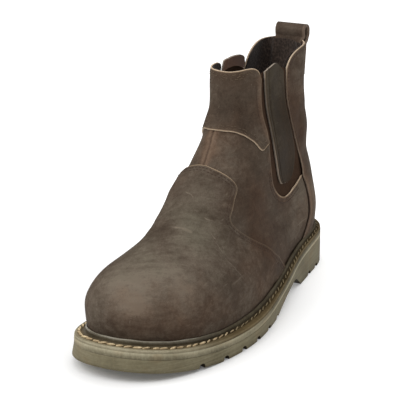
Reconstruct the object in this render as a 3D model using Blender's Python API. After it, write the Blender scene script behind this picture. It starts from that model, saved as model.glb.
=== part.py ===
"""Slip-on safety boot, left foot: leather upper with elastic side gores on a
welted, lugged rubber sole.

Frame: metres, +X toward the toe, +Y toward the wearer's left (the outer side of
the foot), +Z up.  Origin on the floor at the middle of the boot's length and width.
All tables below are in millimetres: x is measured forward from the back of the
heel, y outward (left) from the heel's centre line, z up from the floor.
"""
import bpy
import bmesh
import numpy as np
from mathutils import Vector

# ---------------------------------------------------------------- sizes (mm)
SOLE_LENGTH = 310.0       # heel to toe over the welt
WALL = 2.4                # leather and lining together
GAP = 0.3                 # clearance between touching pieces
WELT_THICK = 2.2
WELT_INSET = 0.9          # welt edge back from the midsole edge
MIDSOLE_THICK = 5.0
BEAD_WIDTH = 4.0          # raised bead of the welt beside the upper
BEAD_HEIGHT = 3.4
INSOLE_TOP = 2.6          # insole surface above the welt
EDGE_CHAMFER = 0.7
LUG_DEPTH = 3.9
LUG_SLOT = 5.4
GORE_OUT, GORE_IN = -1.2, -2.3        # elastic, measured from the leather face
STRIP_OUT, STRIP_IN = 0.9, -0.6       # leather strip lying on the elastic
LOOP_WIDTH = 28.0
LOOP_THICK = 2.2
LOOP_RISE = 11.6          # height of the loop over the collar
LOOP_HALF = 4.8           # half the depth of the loop, strap centre to centre
LOOP_MIDDLE = 8.0         # x of the middle of the loop, straight across its width
LOOP_ASIDE = 3.0          # how far the loop sits to the outer side of the heel's middle
LOOP_LEG = 29.0           # length of each leg below the collar
COLLAR_FRONT = 188.6      # height of the front collar edge
LEAN_FROM = 95.0          # above this height the inner side's opening leans back,
LEAN_BACK = 9.0           # by this much at its back edge by the collar
LEAN_FRONT = 15.0         # and by this much at its front edge

RING_POINTS = 30          # columns from heel to toe on each side of the upper
SOLE_POINTS = 40          # columns from heel to toe on each side of the sole

# Outline of the welt edge: half width and sideways swing of the centre line at
# thirteen stations, and how far the tread edge stands out from it on each side.
SOLE_COLUMNS = ("half", "swing", "flare_outer", "flare_inner")
SOLE = (
    (0.0, 0.0, 0.0, 0.0),
    (17.8, 0.2, 0.0, 0.0),
    (33.8, 0.5, -0.4, 0.0),
    (40.0, 0.7, -1.2, 0.0),
    (42.3, 1.9, -1.2, 0.0),
    (43.8, 5.6, -1.5, 0.0),
    (49.0, 9.0, -1.8, 0.0),
    (55.2, 6.6, -1.8, 0.4),
    (56.3, 0.6, -1.6, 1.0),
    (51.3, -4.7, -1.0, 1.8),
    (40.2, -7.9, -0.8, 2.6),
    (23.2, -10.6, -0.5, 1.6),
    (0.0, -12.5, 0.0, 0.0),
)

# Heights along the sole.
RISE_COLUMNS = ("x", "welt_top", "tread")
RISE = (
    (0.0, 33.5, 0.0),
    (40.0, 32.5, 0.0),
    (75.0, 30.5, 0.0),
    (110.0, 26.5, 0.0),
    (150.0, 21.5, 0.0),
    (190.0, 18.0, 0.0),
    (230.0, 17.3, 0.0),
    (246.0, 18.0, 0.0),
    (262.0, 19.5, 1.6),
    (290.0, 24.2, 5.6),
    (310.0, 28.5, 9.7),
)

# Hollow under the waist, from the heel breast forward.
ARCH_COLUMNS = ("x", "z")
ARCH = ((78.0, -1.0), (88.5, 6.6), (95.0, 11.0), (101.0, 12.6), (115.0, 11.5), (127.0, 9.6),
        (140.0, 5.4), (150.0, 1.8), (158.0, -1.5))

# Rounded roof of a tread slot, as shares of its half width and depth.
ROOF_COLUMNS = ("across", "up")
ROOF = ((1.0, 0.55), (0.62, 1.0))

# Edge slots of the tread, by distance from the heel.
SLOTS_FORE = (153.0, 175.0, 197.0, 218.0, 239.0, 262.5)
SLOTS_HEEL = (21.0, 39.5, 58.0)

# Closed sections of the upper from the feather line (row 0) to the collar.
# Each row: where its centre line starts at the front and back, and the half
# width on the outer (o) and inner (i) side at five stations from heel to toe.
LEVEL_COLUMNS = ("front_x", "front_z", "front_y", "back_x", "back_z", "back_y",
                 "o1", "o2", "o3", "o4", "o5", "i1", "i2", "i3", "i4", "i5")
LEVEL = (
    (293.5, 31.0, -12.0, 9.5, 36.0, 0.0, 31.5, 41.0, 56.0, 58.0, 37.0, 27.7, 30.5, 25.5, 36.0, 33.5),
    (296.5, 42.0, -12.0, 5.5, 48.0, 0.0, 32.5, 41.0, 55.5, 58.5, 39.5, 29.2, 30.2, 25.1, 35.9, 33.9),
    (295.0, 55.0, -11.5, 4.0, 59.0, 0.0, 32.0, 39.6, 50.8, 55.0, 37.7, 29.2, 29.7, 24.6, 33.4, 30.8),
    (284.0, 67.0, -9.5, 4.5, 70.0, 0.0, 29.8, 36.6, 44.3, 47.1, 33.4, 27.9, 28.6, 24.8, 28.0, 25.7),
    (260.5, 76.0, -6.5, 6.1, 80.0, 0.0, 27.6, 34.7, 39.2, 39.9, 26.6, 26.0, 27.4, 25.0, 23.2, 19.1),
    (233.0, 85.5, -3.5, 8.6, 92.0, -0.5, 25.7, 31.8, 36.0, 35.7, 21.3, 24.8, 26.1, 25.1, 22.1, 18.0),
    (206.0, 99.0, -0.5, 11.0, 105.0, -1.0, 23.4, 29.5, 33.3, 32.1, 17.6, 23.1, 26.3, 26.8, 25.1, 20.0),
    (180.0, 118.0, 1.0, 13.3, 120.0, -1.0, 23.0, 27.6, 30.8, 29.5, 15.8, 22.0, 27.4, 28.5, 24.5, 17.9),
    (152.0, 140.0, -2.5, 14.7, 138.0, -1.0, 22.2, 26.4, 28.4, 29.0, 18.6, 20.9, 25.4, 25.4, 20.7, 13.2),
    (131.0, 159.0, -5.5, 15.1, 156.0, -1.5, 20.5, 24.2, 25.0, 27.8, 20.3, 20.9, 23.8, 23.0, 20.1, 13.7),
    (120.5, 175.0, -5.0, 12.0, 175.0, -2.0, 19.8, 22.8, 21.8, 26.0, 19.8, 19.4, 22.4, 22.4, 23.7, 18.0),
    (118.0, 188.5, -5.0, 8.0, 194.0, -2.0, 18.1, 21.7, 19.5, 25.3, 19.3, 17.9, 19.5, 17.5, 22.5, 18.3),
)
LEVEL_TOP = 11.45         # the sections run on a little past the collar edge

# Side opening for the elastic, bottom to top: its back edge and front edge.
EDGE_COLUMNS = ("back_x", "back_z", "front_x", "front_z")
GORE = (
    (84.5, 80.0, 93.0, 80.8),
    (73.5, 81.8, 101.0, 84.5),
    (62.0, 84.3, 108.0, 91.0),
    (51.5, 87.0, 113.0, 99.0),
    (49.5, 95.0, 115.0, 109.0),
    (51.0, 108.0, 114.5, 121.0),
    (56.0, 120.5, 113.5, 133.0),
    (60.0, 132.5, 112.0, 145.0),
    (62.0, 145.0, 109.5, 158.0),
    (60.8, 158.0, 106.5, 171.0),
    (57.2, 170.0, 104.8, 181.0),
    (54.3, 179.5, 104.0, 187.0),
)
# Leather strip over the elastic, bottom to top; crown lifts the middle of a row.
STRIP_COLUMNS = EDGE_COLUMNS + ("crown",)
STRIP = (
    (78.0, 90.6, 90.0, 91.6, -0.3),
    (71.5, 93.0, 97.0, 94.4, -1.5),
    (66.5, 98.5, 101.5, 102.5, -1.5),
    (63.0, 106.5, 104.0, 112.0, -1.0),
    (62.0, 116.0, 105.5, 123.0, 0.0),
    (64.5, 129.0, 105.5, 136.0, 0.5),
    (67.5, 143.0, 104.3, 150.0, 1.5),
    (66.5, 156.0, 103.0, 163.0, 3.0),
    (63.8, 168.0, 102.0, 176.0, 5.0),
    (61.5, 178.5, 101.2, 187.6, 7.0),
)
# Top edge of the back panel, from behind the heel to the elastic.
BACK_EDGE_COLUMNS = ("x", "z")
BACK_EDGE = ((-12.0, 194.4), (6.0, 194.0), (18.0, 193.0), (30.0, 191.8),
             (41.0, 189.0), (49.0, 184.4))

LEATHER = (0.105, 0.078, 0.060, 1.0)
ELASTIC = (0.045, 0.032, 0.026, 1.0)
STRIP_LEATHER = (0.090, 0.075, 0.064, 1.0)
RUBBER = (0.190, 0.165, 0.110, 1.0)
MIDSOLE_RUBBER = (0.300, 0.265, 0.180, 1.0)
WELT_BROWN = (0.110, 0.088, 0.055, 1.0)
INSOLE_FELT = (0.030, 0.026, 0.024, 1.0)


# ---------------------------------------------------------------- functions
def spline(rows, query):
    """Natural cubic through evenly numbered rows (n, m) at fractional rows."""
    rows = np.asarray(rows, float)
    return spline_at(np.arange(len(rows), dtype=float), rows, query)


def spline_at(knots, rows, query):
    knots = np.asarray(knots, float)
    rows = np.asarray(rows, float)
    flat = rows.ndim == 1
    if flat:
        rows = rows[:, None]
    query = np.asarray(query, float)
    n = len(knots)
    step = np.diff(knots)
    system = np.eye(n)
    right = np.zeros_like(rows)
    for i in range(1, n - 1):
        system[i, i - 1] = step[i - 1]
        system[i, i] = 2.0 * (step[i - 1] + step[i])
        system[i, i + 1] = step[i]
        right[i] = 6.0 * ((rows[i + 1] - rows[i]) / step[i]
                          - (rows[i] - rows[i - 1]) / step[i - 1])
    bend = np.linalg.solve(system, right)
    i = np.clip(np.searchsorted(knots, query, side="right") - 1, 0, n - 2)
    d = (query - knots[i])[..., None]
    h = step[i][..., None]
    slope = (rows[i + 1] - rows[i]) / h - h * (2.0 * bend[i] + bend[i + 1]) / 6.0
    value = (rows[i] + slope * d + bend[i] / 2.0 * d ** 2
             + (bend[i + 1] - bend[i]) / (6.0 * h) * d ** 3)
    return value[..., 0] if flat else value


def along(s):
    """Share of the length at station s: rounds both ends off."""
    return (1.0 - np.cos(np.pi * s)) / 2.0


def welt_top(x):
    rise = np.asarray(RISE)
    return spline_at(rise[:, 0], rise[:, 1], np.clip(x, 0.0, SOLE_LENGTH))


def tread(x):
    rise = np.asarray(RISE)
    flat = rise[:, 0] <= 246.0
    toe = ~flat
    knots = np.concatenate([[246.0], rise[toe, 0]])
    lift = np.concatenate([[0.0], rise[toe, 2]])
    return np.where(x <= 246.0, 0.0,
                    spline_at(knots, lift, np.clip(x, 246.0, SOLE_LENGTH)).clip(0.0))


def sole_edge(s, side, out=0.0):
    """Plan points of the sole edge: out 0 at the welt, 1 at the tread."""
    row = spline_at(np.linspace(0.0, 1.0, len(SOLE)), SOLE, s)
    flare = row[..., 2] if side > 0 else row[..., 3]
    half = np.maximum(row[..., 0] + out * flare, 0.0)
    x = SOLE_LENGTH * along(s)
    points = np.stack([x, row[..., 1] + side * half], axis=-1)
    return points


def sole_loop(out=0.0, inset=0.0, count=SOLE_POINTS):
    """Closed outline: outer side heel to toe, then inner side back."""
    s = np.linspace(0.0, 1.0, count + 1)
    outer = sole_edge(s, 1.0, out)
    inner = sole_edge(s, -1.0, out)
    loop = np.concatenate([outer, inner[-2:0:-1]])
    if inset:
        forward = np.roll(loop, -1, axis=0) - np.roll(loop, 1, axis=0)
        forward /= np.linalg.norm(forward, axis=1)[:, None]
        loop = loop + inset * np.stack([forward[:, 1], -forward[:, 0]], axis=1)
    return loop


def level_row(t):
    return spline(LEVEL, np.asarray(t, float))


def upper_point(t, s, side):
    """Leather face at section t, station s, on the outer (+1) or inner side."""
    t, s = np.broadcast_arrays(np.asarray(t, float), np.asarray(s, float))
    row = level_row(t)
    k = along(s)
    front_x, front_z, front_y, back_x, back_z, back_y = (row[..., i] for i in range(6))
    widths = row[..., 6:11] if side > 0 else row[..., 11:16]
    zero = np.zeros(widths.shape[:-1] + (1,))
    widths = np.concatenate([zero, widths, zero], axis=-1)
    share = spline_at(np.arange(7) / 6.0, np.eye(7), s)
    half = (widths * share).sum(axis=-1)
    x = back_x + (front_x - back_x) * k
    z = back_z + (front_z - back_z) * k
    low = np.clip(1.0 - t / 2.0, 0.0, 1.0) * np.clip(1.0 - t, 0.0, 1.0)
    z = z + low * (welt_top(x) + GAP - z)
    y = back_y + (front_y - back_y) * k + side * half
    return np.stack([x, y, z], axis=-1)


def upper_rings(levels, count=RING_POINTS):
    """Grid of leather-face points, one closed ring a level, and its normals."""
    s = np.linspace(0.0, 1.0, count + 1)
    rings = []
    for t in levels:
        outer = upper_point(np.full_like(s, t), s, 1.0)
        inner = upper_point(np.full_like(s, t), s, -1.0)
        rings.append(np.concatenate([outer, inner[-2:0:-1]]))
    grid = np.array(rings)
    round_way = np.roll(grid, -1, axis=1) - np.roll(grid, 1, axis=1)
    up_way = np.gradient(grid, axis=0)
    normal = np.cross(up_way, round_way)
    normal /= np.linalg.norm(normal, axis=2)[..., None]
    return grid, normal


def side_point(x, z, side):
    """Leather face of one side at a given length and height."""
    x = np.asarray(x, float)
    z = np.asarray(z, float)
    table = np.asarray(LEVEL)
    t = np.interp(z, (table[:, 1] + table[:, 4]) / 2.0, np.arange(len(LEVEL)))

    def height(t):
        row = level_row(t)
        k = np.clip((x - row[..., 3]) / (row[..., 0] - row[..., 3]), 0.0, 1.0)
        return row[..., 4] + (row[..., 1] - row[..., 4]) * k, k

    for _ in range(25):
        now, k = height(t)
        then, _k = height(t + 0.02)
        t = t + np.clip((z - now) / ((then - now) / 0.02), -0.5, 0.5)
    now, k = height(t)
    s = np.arccos(1.0 - 2.0 * k) / np.pi
    return upper_point(t, s, side)


def side_patch(x, z, side, offset):
    """Grid of points at an offset from the leather face."""
    h = 0.4
    middle = side_point(x, z, side)
    dx = (side_point(x + h, z, side) - side_point(x - h, z, side))[..., 1] / (2 * h)
    dz = (side_point(x, z + h, side) - side_point(x, z - h, side))[..., 1] / (2 * h)
    normal = np.stack([-dx, np.ones_like(dx), -dz], axis=-1) * side
    normal /= np.linalg.norm(normal, axis=-1)[..., None]
    return middle + normal * offset


MIDDLE_Y = (sole_loop(0.0)[:, 1].max() + sole_loop(1.0)[:, 1].min()) / 2.0
ORIGIN = np.array([SOLE_LENGTH / 2.0, MIDDLE_Y, 0.0])

for old in list(bpy.data.objects):
    bpy.data.objects.remove(old, do_unlink=True)
for old in list(bpy.data.collections):
    bpy.data.collections.remove(old)

boot = bpy.data.collections.new("safety_boot")
tools = bpy.data.collections.new("cutters")
bpy.context.scene.collection.children.link(boot)
bpy.context.scene.collection.children.link(tools)


def material(name, colour, rough):
    made = bpy.data.materials.new(name)
    made.use_nodes = True
    shader = made.node_tree.nodes["Principled BSDF"]
    shader.inputs["Base Color"].default_value = colour
    shader.inputs["Roughness"].default_value = rough
    return made


def mesh_object(name, verts, faces, where, skin=None):
    mesh = bpy.data.meshes.new(name)
    points = (np.asarray(verts, float) - ORIGIN) * 0.001
    mesh.from_pydata([tuple(p) for p in points], [], faces)
    work = bmesh.new()
    work.from_mesh(mesh)
    bmesh.ops.recalc_face_normals(work, faces=work.faces[:])
    work.to_mesh(mesh)
    work.free()
    made = bpy.data.objects.new(name, mesh)
    where.objects.link(made)
    if skin is not None:
        mesh.materials.append(skin)
    if where is tools:
        made.hide_render = True
        made.display_type = "WIRE"
    return made


def quads(rows, cols, start, wrap):
    """Faces of a grid of points numbered row by row."""
    faces = []
    last = cols if wrap else cols - 1
    for r in range(rows - 1):
        for c in range(last):
            d = (c + 1) % cols
            faces.append((start + r * cols + c, start + r * cols + d,
                          start + (r + 1) * cols + d, start + (r + 1) * cols + c))
    return faces


def ring_solid(name, outer, inner, where, skin=None):
    """Closed wall between two stacks of rings."""
    rows, cols = outer.shape[:2]
    half = rows * cols
    verts = np.concatenate([outer.reshape(-1, 3), inner.reshape(-1, 3)])
    faces = quads(rows, cols, 0, True) + [f[::-1] for f in quads(rows, cols, half, True)]
    for r in (0, rows - 1):
        for c in range(cols):
            d = (c + 1) % cols
            faces.append((r * cols + c, r * cols + d, half + r * cols + d, half + r * cols + c))
    return mesh_object(name, verts, faces, where, skin)


def patch_solid(name, front, back, where, skin=None):
    """Closed slab between two matching open grids."""
    rows, cols = front.shape[:2]
    half = rows * cols
    verts = np.concatenate([front.reshape(-1, 3), back.reshape(-1, 3)])
    faces = quads(rows, cols, 0, False) + [f[::-1] for f in quads(rows, cols, half, False)]
    rim = ([c for c in range(cols)]
           + [r * cols + cols - 1 for r in range(1, rows)]
           + [(rows - 1) * cols + c for c in range(cols - 2, -1, -1)]
           + [r * cols for r in range(rows - 2, 0, -1)])
    for a, b in zip(rim, rim[1:] + rim[:1]):
        faces.append((a, b, half + b, half + a))
    return mesh_object(name, verts, faces, where, skin)


def stacked_solid(name, rings, where, skin=None):
    """Closed block through a stack of outlines, capped straight across."""
    rings = np.asarray(rings)
    rows, cols = rings.shape[:2]
    faces = quads(rows, cols, 0, True)
    half = cols // 2
    for r in (0, rows - 1):
        base = r * cols
        for c in range(half):
            a, b = c, c + 1
            d, e = (cols - c) % cols, (cols - c - 1) % cols
            face = [base + v for v in (a, b, e, d)]
            faces.append(tuple(dict.fromkeys(face)))
    return mesh_object(name, rings.reshape(-1, 3), faces, where, skin)


def prism_y(name, outline, low, high):
    """Cutter: an outline in x and z run straight through sideways."""
    n = len(outline)
    verts = [(x, low, z) for x, z in outline] + [(x, high, z) for x, z in outline]
    faces = [tuple(range(n)), tuple(range(2 * n - 1, n - 1, -1))]
    faces += [(i, (i + 1) % n, n + (i + 1) % n, n + i) for i in range(n)]
    return mesh_object(name, verts, faces, tools)


def slots(name, specs):
    """One cutter of several round-topped slots: start, direction, length, foot and depth."""
    verts, faces = [], []
    roof = [(a, k) for a, k in ROOF] + [(-a, k) for a, k in ROOF[::-1]]
    n = len(roof) + 2
    for start, direction, length, foot, depth in specs:
        direction = np.asarray(direction, float) / np.linalg.norm(direction)
        across = np.array([-direction[1], direction[0]]) * LUG_SLOT / 2.0
        outline = [(-1.0, -2.0), (1.0, -2.0)] + [(a, k * depth) for a, k in roof]
        base = len(verts)
        for end in (start, start + direction * length):
            verts += [(*(end + across * a), foot + up) for a, up in outline]
        faces += [tuple(base + v for v in range(n)), tuple(base + v for v in range(2 * n - 1, n - 1, -1))]
        faces += [(base + v, base + (v + 1) % n, base + n + (v + 1) % n, base + n + v) for v in range(n)]
    return mesh_object(name, verts, faces, tools)


def cut(target, cutter):
    step = target.modifiers.new(cutter.name, "BOOLEAN")
    step.operation = "DIFFERENCE"
    step.solver = "EXACT"
    step.object = cutter


def lifted(loop, z):
    return np.concatenate([loop, np.asarray(z)[:, None]], axis=1)


# ---------------------------------------------------------------- sole pieces
rubber = material("outsole_rubber", RUBBER, 0.7)
band = material("midsole_rubber", MIDSOLE_RUBBER, 0.65)
welt_skin = material("welt_leather", WELT_BROWN, 0.45)
felt = material("insole_felt", INSOLE_FELT, 0.95)
leather = material("upper_leather", LEATHER, 0.55)
elastic = material("gore_elastic", ELASTIC, 0.9)
strip_skin = material("strip_leather", STRIP_LEATHER, 0.5)
loop_skin = material("loop_leather", LEATHER, 0.55)

edge = sole_loop(0.0)
edge_z = welt_top(edge[:, 0])
mid_top = WELT_THICK + GAP
mid_low = mid_top + MIDSOLE_THICK
out_top = mid_low + GAP
foot = sole_loop(1.0)
foot_z = tread(foot[:, 0])

stacked_solid("midsole", [
    lifted(sole_loop(0.0, EDGE_CHAMFER), edge_z - mid_top),
    lifted(edge, edge_z - mid_top - EDGE_CHAMFER),
    lifted(sole_loop(0.1), edge_z - mid_low + EDGE_CHAMFER),
    lifted(sole_loop(0.1, EDGE_CHAMFER), edge_z - mid_low),
], boot, band)

shoulder = sole_loop(0.2)
outsole = stacked_solid("outsole", [
    lifted(sole_loop(0.2, EDGE_CHAMFER), edge_z - out_top),
    lifted(shoulder, edge_z - out_top - EDGE_CHAMFER),
    lifted(foot, foot_z + 1.2),
    lifted(sole_loop(1.0, 0.9), foot_z),
], boot, rubber)

arch_line = [(x, z) for x, z in ARCH]
cut(outsole, prism_y("arch_cutter", [(78.0, -6.0)] + arch_line + [(158.0, -6.0)], -90.0, 90.0))


def groove_loop(name, inset, width, first, last):
    """Cutter for a channel that runs round inside the tread edge."""
    stations = np.linspace(0.0, 1.0, 81)
    lines = {}
    for step in (inset, inset + width):
        full = sole_loop(1.0, step, 80)
        outer, inner = full[:81], np.concatenate([full[:1], full[:80:-1], full[80:81]])
        low = first + (0.0 if step == inset else width)
        high = last - (0.0 if step == inset else width)
        pick = (stations >= station_at(first + width)) & (stations <= station_at(last - width))
        a = outer[pick].copy()
        b = inner[pick].copy()
        for line in (a, b):
            line[:, 0] = np.clip(line[:, 0], low, high)
        a[0, 0] = b[0, 0] = low
        if last < SOLE_LENGTH / 2.0:
            a[-1, 0] = b[-1, 0] = high
        lines[step] = np.concatenate([a, b[::-1]])
    rim, core = lines[inset], lines[inset + width]
    base = tread(rim[:, 0]), tread(core[:, 0])
    outer = np.array([lifted(rim, base[0] - 2.0), lifted(rim, base[0] + LUG_DEPTH)])
    inner = np.array([lifted(core, base[1] - 2.0), lifted(core, base[1] + LUG_DEPTH)])
    return ring_solid(name, outer, inner, tools)


def station_at(x):
    return float(np.arccos(1.0 - 2.0 * x / SOLE_LENGTH) / np.pi)


def edge_slots(name, places, reach):
    specs = []
    for x in places:
        for side in (1.0, -1.0):
            s = station_at(x)
            here = sole_edge(np.array(s), side, 1.0)
            ahead = (sole_edge(np.array(s + 0.01), side, 1.0)
                     - sole_edge(np.array(s - 0.01), side, 1.0))
            inward = np.array([ahead[1], -ahead[0]]) * side
            inward /= np.linalg.norm(inward)
            z = float(tread(np.array(here[0])))
            specs.append((here - inward * 4.0, inward, reach + 4.0, z, LUG_DEPTH))
    return slots(name, specs)


def bar_slots(name, places, inset):
    specs = []
    for x in places:
        s = station_at(x)
        left = sole_edge(np.array(s), 1.0, 1.0)[1] - inset
        right = sole_edge(np.array(s), -1.0, 1.0)[1] + inset
        z = float(tread(np.array(x)))
        specs.append((np.array([x, right]), (0.0, 1.0), left - right, z, LUG_DEPTH))
    return slots(name, specs)


cut(outsole, groove_loop("fore_channel", 16.0, 4.0, 164.0, 296.0))
cut(outsole, groove_loop("heel_channel", 13.0, 4.0, 13.0, 70.0))
cut(outsole, edge_slots("fore_slots", SLOTS_FORE, 17.5))
cut(outsole, edge_slots("heel_slots", SLOTS_HEEL, 14.5))
cut(outsole, bar_slots("fore_bars", (186.0, 207.5, 228.5, 249.5), 18.5))
cut(outsole, bar_slots("heel_bars", (40.0,), 15.0))

# Welt: a strip with a raised bead, one profile at every station of the edge.
feather = upper_rings((0.0, 0.25), SOLE_POINTS)[0][0, :, :2]
lip = sole_loop(0.0, WELT_INSET)
reach = np.linalg.norm(lip - feather, axis=1)
outward = (lip - feather) / reach[:, None]
forward = np.roll(feather, -1, axis=0) - np.roll(feather, 1, axis=0)
forward /= np.linalg.norm(forward, axis=1)[:, None]
inward = np.stack([forward[:, 1], -forward[:, 0]], axis=1)
profile_rows = []
for root, way, back, full in zip(feather, outward, inward, reach):
    b, h = BEAD_WIDTH, BEAD_HEIGHT
    section = ((-WALL, -WELT_THICK), (-WALL, 0.0), (0.55, 0.0), (0.95, 0.45 * h), (1.6, 0.85 * h),
               (0.6 + 0.5 * b, h), (0.6 + 0.82 * b, 0.8 * h), (0.6 + b, 0.35 * h), (0.8 + b, 0.0),
               (full - EDGE_CHAMFER, 0.0), (full, -EDGE_CHAMFER), (full, -WELT_THICK))
    line = []
    for d, up in section:
        p = root + (way * d if d > 0.0 else -back * d)
        line.append((p[0], p[1], float(welt_top(np.array(p[0]))) + up))
    profile_rows.append(line)
profile_rows = np.array(profile_rows)
rows, cols = profile_rows.shape[:2]
faces = []
for r in range(rows):
    for c in range(cols):
        q, d = (r + 1) % rows, (c + 1) % cols
        faces.append((r * cols + c, r * cols + d, q * cols + d, q * cols + c))
mesh_object("welt", profile_rows.reshape(-1, 3), faces, boot, welt_skin)

# ---------------------------------------------------------------- upper pieces
levels = (0.0, 0.3, 0.7, 1.2, 1.8, 2.4, 3.0, 3.6, 4.2, 4.9, 5.6, 6.3, 7.0, 7.7, 8.4, 9.3, 10.3,
          LEVEL_TOP)
face, normal = upper_rings(levels)
lining = face - normal * WALL
lining[0, :, 2] = face[0, :, 2]
upper = ring_solid("upper", face, lining, boot, leather)


def edge_line(table, first, second, count):
    rows = np.asarray(table)[:, [first, second]]
    return spline(rows, np.linspace(0.0, len(rows) - 1.0, count))


def leaned(table, side):
    """Rows of a table of edges: the inner side's lean back toward the collar."""
    rows = np.array(table, float)
    if side < 0.0:
        for across, up, most in ((0, 1, LEAN_BACK), (2, 3, LEAN_FRONT)):
            k = np.clip((rows[:, up] - LEAN_FROM) / (COLLAR_FRONT - LEAN_FROM), 0.0, 1.0)
            rows[:, across] -= most * k * k * (3.0 - 2.0 * k)
    return rows


# Mouth of the boot, cut from each side as far as the middle.
for side, label, low, high in ((1.0, "outer", -4.0, 70.0), (-1.0, "inner", -70.0, -3.0)):
    rows = leaned(GORE, side)
    back_side = edge_line(rows, 0, 1, 23)
    front_side = edge_line(rows, 2, 3, 23)
    narrow = back_side[-1, 0] / GORE[-1][0]
    corner_x = front_side[-1, 0]
    back_edge = [(x if x < 0.0 else x * narrow, z) for x, z in BACK_EDGE]
    collar_corner = [(corner_x + 0.7, COLLAR_FRONT - 0.5), (corner_x + 2.4, COLLAR_FRONT)]
    mouth = (back_edge + [tuple(p) for p in back_side[::-1]]
             + [tuple(p) for p in front_side] + collar_corner
             + [(140.0, COLLAR_FRONT), (140.0, 230.0), (-12.0, 230.0)])
    cut(upper, prism_y("mouth_cutter_" + label, mouth, low, high))

# Insole board, dropped inside the upper onto the midsole.
board = feather + inward * (WALL + 2.0 * GAP)
board_z = welt_top(board[:, 0])
stacked_solid("insole", [
    lifted(board, board_z - WELT_THICK),
    lifted(board, board_z + INSOLE_TOP),
], boot, felt)


def side_grid(table, across, up, shrink, crown=False):
    """Rows of x and z between a back edge and a front edge."""
    rows = spline(table, np.linspace(0.0, len(table) - 1.0, up))
    u = np.linspace(0.0, 1.0, across)[None, :]
    back_x, back_z = rows[:, 0:1], rows[:, 1:2]
    front_x, front_z = rows[:, 2:3], rows[:, 3:4]
    wide = np.hypot(front_x - back_x, front_z - back_z)
    trim = shrink / wide
    v = trim + (1.0 - 2.0 * trim) * u
    x = back_x + (front_x - back_x) * v
    z = back_z + (front_z - back_z) * v
    if crown:
        z = z + rows[:, 4:5] * 4.0 * v * (1.0 - v)
    return x, z


for side, label in ((1.0, "lateral"), (-1.0, "medial")):
    x, z = side_grid(leaned(GORE, side), 8, 15, 1.2)
    z += np.array([1.3, 1.1, 0.9, 0.6] + [0.2] * 9 + [0.0, 0.0])[:, None]
    patch_solid("gore_" + label, side_patch(x, z, side, GORE_OUT),
                side_patch(x, z, side, GORE_IN), boot, elastic)
    x, z = side_grid(leaned(STRIP, side), 7, 12, 0.0, True)
    patch_solid("gore_strip_" + label, side_patch(x, z, side, STRIP_OUT),
                side_patch(x, z, side, STRIP_IN), boot, strip_skin)

# Pull loop: one strap, both legs hugging the back of the shaft.
half_columns = 3
loop_levels = np.linspace(LEVEL_TOP - 2.6, LEVEL_TOP, 40)
loop_face, loop_normal = upper_rings(loop_levels, 60)
columns = []
for i in range(-half_columns, half_columns + 1):
    want = LOOP_ASIDE + LOOP_WIDTH / 2.0 * i / half_columns
    line, away = [], []
    for r in range(len(loop_levels)):
        ring = loop_face[r]
        order = np.concatenate([ring[-20:], ring[:21]])
        tilt = np.concatenate([loop_normal[r][-20:], loop_normal[r][:21]])
        target = ring[0, 1] + want
        line.append([np.interp(target, order[:, 1], order[:, a]) for a in range(3)])
        away.append([np.interp(target, order[:, 1], tilt[:, a]) for a in range(3)])
    columns.append((np.array(line), np.array(away)))

outer_skin, inner_skin = [], []
for line, away in columns:
    top_z = 194.0
    leg_z = np.linspace(top_z - LOOP_LEG, top_z + 0.6, 8)
    wall = np.array([[np.interp(z, line[:, 2], line[:, a]) for a in range(3)] for z in leg_z])
    out = np.array([[np.interp(z, line[:, 2], away[:, a]) for a in range(3)] for z in leg_z])
    out[:, 2] = 0.0
    out /= np.linalg.norm(out, axis=1)[:, None]
    half_t = LOOP_THICK / 2.0
    outside = wall + out * (GAP + half_t)
    inside = wall - out * (WALL + 2.0 * GAP + half_t)
    middle = (outside[-1] + inside[-1]) / 2.0
    b = out[-1]
    radius = np.linalg.norm(outside[-1] - inside[-1]) / 2.0
    path = [p for p in outside]
    upward = np.array([0.0, 0.0, 1.0])
    spring = LOOP_RISE - LOOP_HALF
    swell = [(radius + (LOOP_HALF - radius) * (1.0 - np.cos(np.pi * q)) / 2.0, spring * q)
             for q in (0.2, 0.4, 0.6, 0.8)]
    arc = [(LOOP_HALF * np.cos(np.pi * q / 8.0), spring + LOOP_HALF * np.sin(np.pi * q / 8.0))
           for q in range(9)]
    bow = ([(r, z, min(1.0, 1.7 * z / spring)) for r, z in swell] + [(r, z, 1.0) for r, z in arc]
           + [(-r, z, min(1.0, 1.7 * z / spring)) for r, z in swell[::-1]])
    straight = np.array([LOOP_MIDDLE, middle[1], middle[2]])
    for r, z, flat in bow:
        curved = middle + b * r
        level = straight - np.array([r, 0.0, 0.0])
        path.append(curved * (1.0 - flat) + level * flat + upward * z)
    path += [p for p in inside[::-1]]
    path = np.array(path)
    tangent = np.gradient(path, axis=0)
    tangent /= np.linalg.norm(tangent, axis=1)[:, None]
    turn = np.cross(np.cross(b, np.array([0.0, 0.0, 1.0])), tangent)
    turn /= np.linalg.norm(turn, axis=1)[:, None]
    sign = 1.0 if np.dot(turn[0], b) > 0 else -1.0
    outer_skin.append(path + turn * half_t * sign)
    inner_skin.append(path - turn * half_t * sign)
patch_solid("pull_loop", np.array(outer_skin), np.array(inner_skin), boot, loop_skin)
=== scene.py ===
import math
import bpy
import bmesh
import numpy as np
from mathutils import Matrix, Vector


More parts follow.
